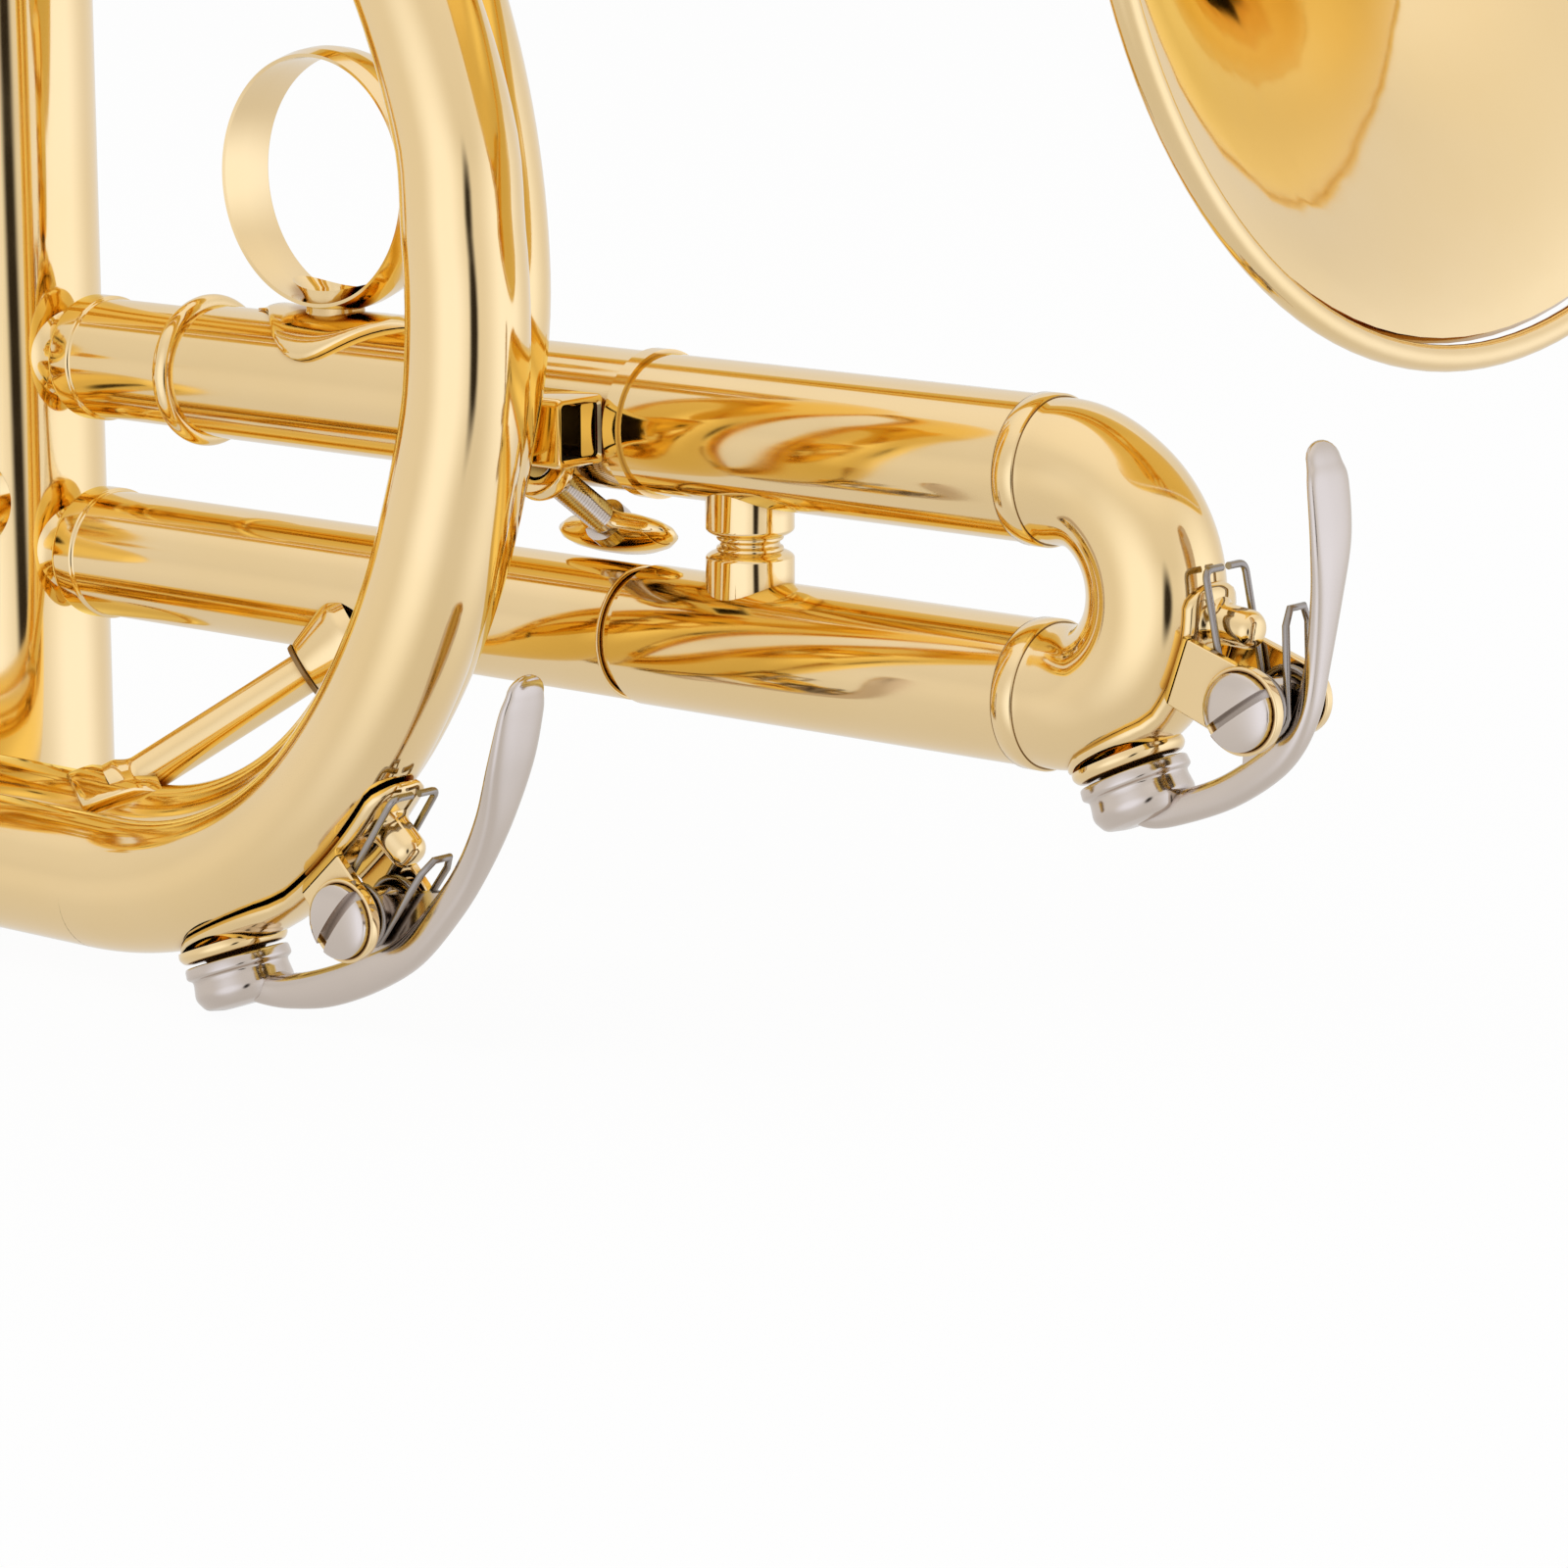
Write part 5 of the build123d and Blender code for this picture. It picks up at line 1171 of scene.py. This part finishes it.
def direction_mask(tree, azimuth, elevation, wide, tall, blur):
    """1 inside a soft upright oval of the sky round a direction, 0 outside; in degrees."""
    sockets = {"Vector": add(tree, "TexCoord", out="Generated"), "Angle": -radians(azimuth)}
    turn = add(tree, "VectorRotate", sockets, rotation_type="Z_AXIS")
    sockets = {"Vector": turn, "Angle": radians(elevation)}
    tip = add(tree, "VectorRotate", sockets, rotation_type="Y_AXIS")
    scale = (0, 1 / sin(radians(wide)), 1 / sin(radians(tall)))
    place = add(tree, "Mapping", {"Vector": tip, "Scale": scale})
    length = add(tree, "VectorMath", {0: place}, "Value", operation="LENGTH")
    sockets = {"Value": length, "From Min": 1 + blur, "From Max": 1 - blur}
    fade = add(tree, "MapRange", sockets, interpolation_type="SMOOTHSTEP")
    ahead = add(tree, "SeparateXYZ", {"Vector": tip}, "X")
    facing = add(tree, "Math", {0: ahead, 1: 0.0}, operation="GREATER_THAN")
    return add(tree, "Math", {0: fade, 1: facing}, operation="MULTIPLY")


def mixed_shader(tree, share, under, over):
    """The shader over laid on the shader under by share."""
    return add(tree, "MixShader", {"Fac": share, 1: under, 2: over})


def make_world():
    """White studio: plain light on the object, and a light tent with a gap for reflections."""
    world = bpy.data.worlds.new("studio")
    bpy.context.scene.world = world
    world.use_nodes = True
    tree = world.node_tree
    tree.nodes.clear()
    sky = add(tree, "TexCoord", out="Generated")
    height = add(tree, "SeparateXYZ", {"Vector": sky}, "Z")
    height = add(tree, "MapRange", {"From Min": -1.0, "Value": height})
    studio = ramp(tree, height, [(position, grey(value)) for position, value in TENT])
    for azimuth, elevation, wide, tall, blur, colour in (
        (-78, -8, 28, 30, 0.6, LAMP_WHITE),
        (32, -4, 32, 32, 0.6, LAMP_WHITE),
        (-35, -8, 7, 16, 0.5, TENT_GAP),
    ):
        mask = direction_mask(tree, azimuth, elevation, wide, tall, blur)
        studio = mixed(tree, mask, studio, colour)
    gloss = add(tree, "Background", {"Color": studio, "Strength": 1.0})
    white = add(tree, "Background", {"Color": WHITE})
    light = add(tree, "Background", {"Color": WHITE, "Strength": SKY_STRENGTH})
    lit = mixed_shader(tree, add(tree, "LightPath", out="Is Glossy Ray"), light, gloss)
    seen = mixed_shader(tree, add(tree, "LightPath", out="Is Camera Ray"), lit, white)
    connect(tree, tree.nodes.new("ShaderNodeOutputWorld"), {"Surface": seen})


def make_floor():
    """A pale floor under the lowest point, which keeps a faint shadow."""
    half = FLOOR_HALF_M
    mesh = bpy.data.meshes.new("floor")
    z = cad_low[2] - FLOOR_GAP_M
    corners = [(-half, -half, z), (half, -half, z), (half, half, z), (-half, half, z)]
    mesh.from_pydata(corners, [], [(0, 1, 2, 3)])
    floor = new_object("floor", mesh)
    material, tree, shader = new_material("floor")
    connect(tree, shader, {"Base Color": (0.86, 0.85, 0.83, 1), "Roughness": 0.6})
    glow = add(tree, "Emission", {"Color": WHITE})
    ray = add(tree, "LightPath", out="Is Camera Ray")
    share = add(tree, "Math", {0: ray, 1: FLOOR_GLOW}, operation="MULTIPLY")
    surface = mixed_shader(tree, share, shader.outputs["BSDF"], glow)
    connect(tree, tree.nodes["Material Output"], {"Surface": surface})
    mesh.materials.append(material)
    floor.visible_glossy = False


def make_lamp(name, place, power):
    """A square soft lamp, aimed at the middle of the instrument; metres and watts."""
    data = bpy.data.lights.new(name, "AREA")
    data.size = 0.8
    data.energy = power
    lamp = new_object(name, data)
    lamp.location = place
    way = vec(0.2, 0.0, -0.05) - Vector(place)
    lamp.rotation_euler = way.to_track_quat("-Z", "Y").to_euler()
    lamp.visible_glossy = False


def make_camera():
    """A long lens to the right front of the instrument, level with the leadpipe."""
    right = (0.76277, 0.64667, -0.00325)
    up = (-0.13070, 0.15908, 0.97858)
    back = (0.63333, -0.74600, 0.20586)
    near_valve = vec(VALVES[2].x, VALVE_Y, UPPER_Z - 27.9)
    away = vec(429.58, -381.58, 100.69)
    data = bpy.data.cameras.new("camera")
    data.sensor_width = 36.0
    data.lens = 126.03
    data.clip_start = 0.01
    camera = new_object("camera", data)
    turn = Matrix((right, up, back)).transposed().to_4x4()
    camera.matrix_world = Matrix.Translation((near_valve + away) * MM) @ turn
    bpy.context.scene.camera = camera


make_world()
make_floor()
make_camera()
make_lamp("key", (-0.4, -0.9, 0.9), 6)
make_lamp("fill", (0.9, 0.4, 0.7), 4)
bpy.context.scene.view_settings.view_transform = "Standard"

# ---- plain finish of every CAD node

NODE_FINISH = {SLOT_OF[m.name]: m for m in (GOLD, NICKEL, STEEL, GROUND, PEARL, CORK)}
NODE_FINISH["nickel_silver"] = GOLD
for part in frame["record"]["subparts"]:
    node = frame["nodes"][part["node"]]
    node.data.materials.clear()
    node.data.materials.append(NODE_FINISH[part["material_slot"]])
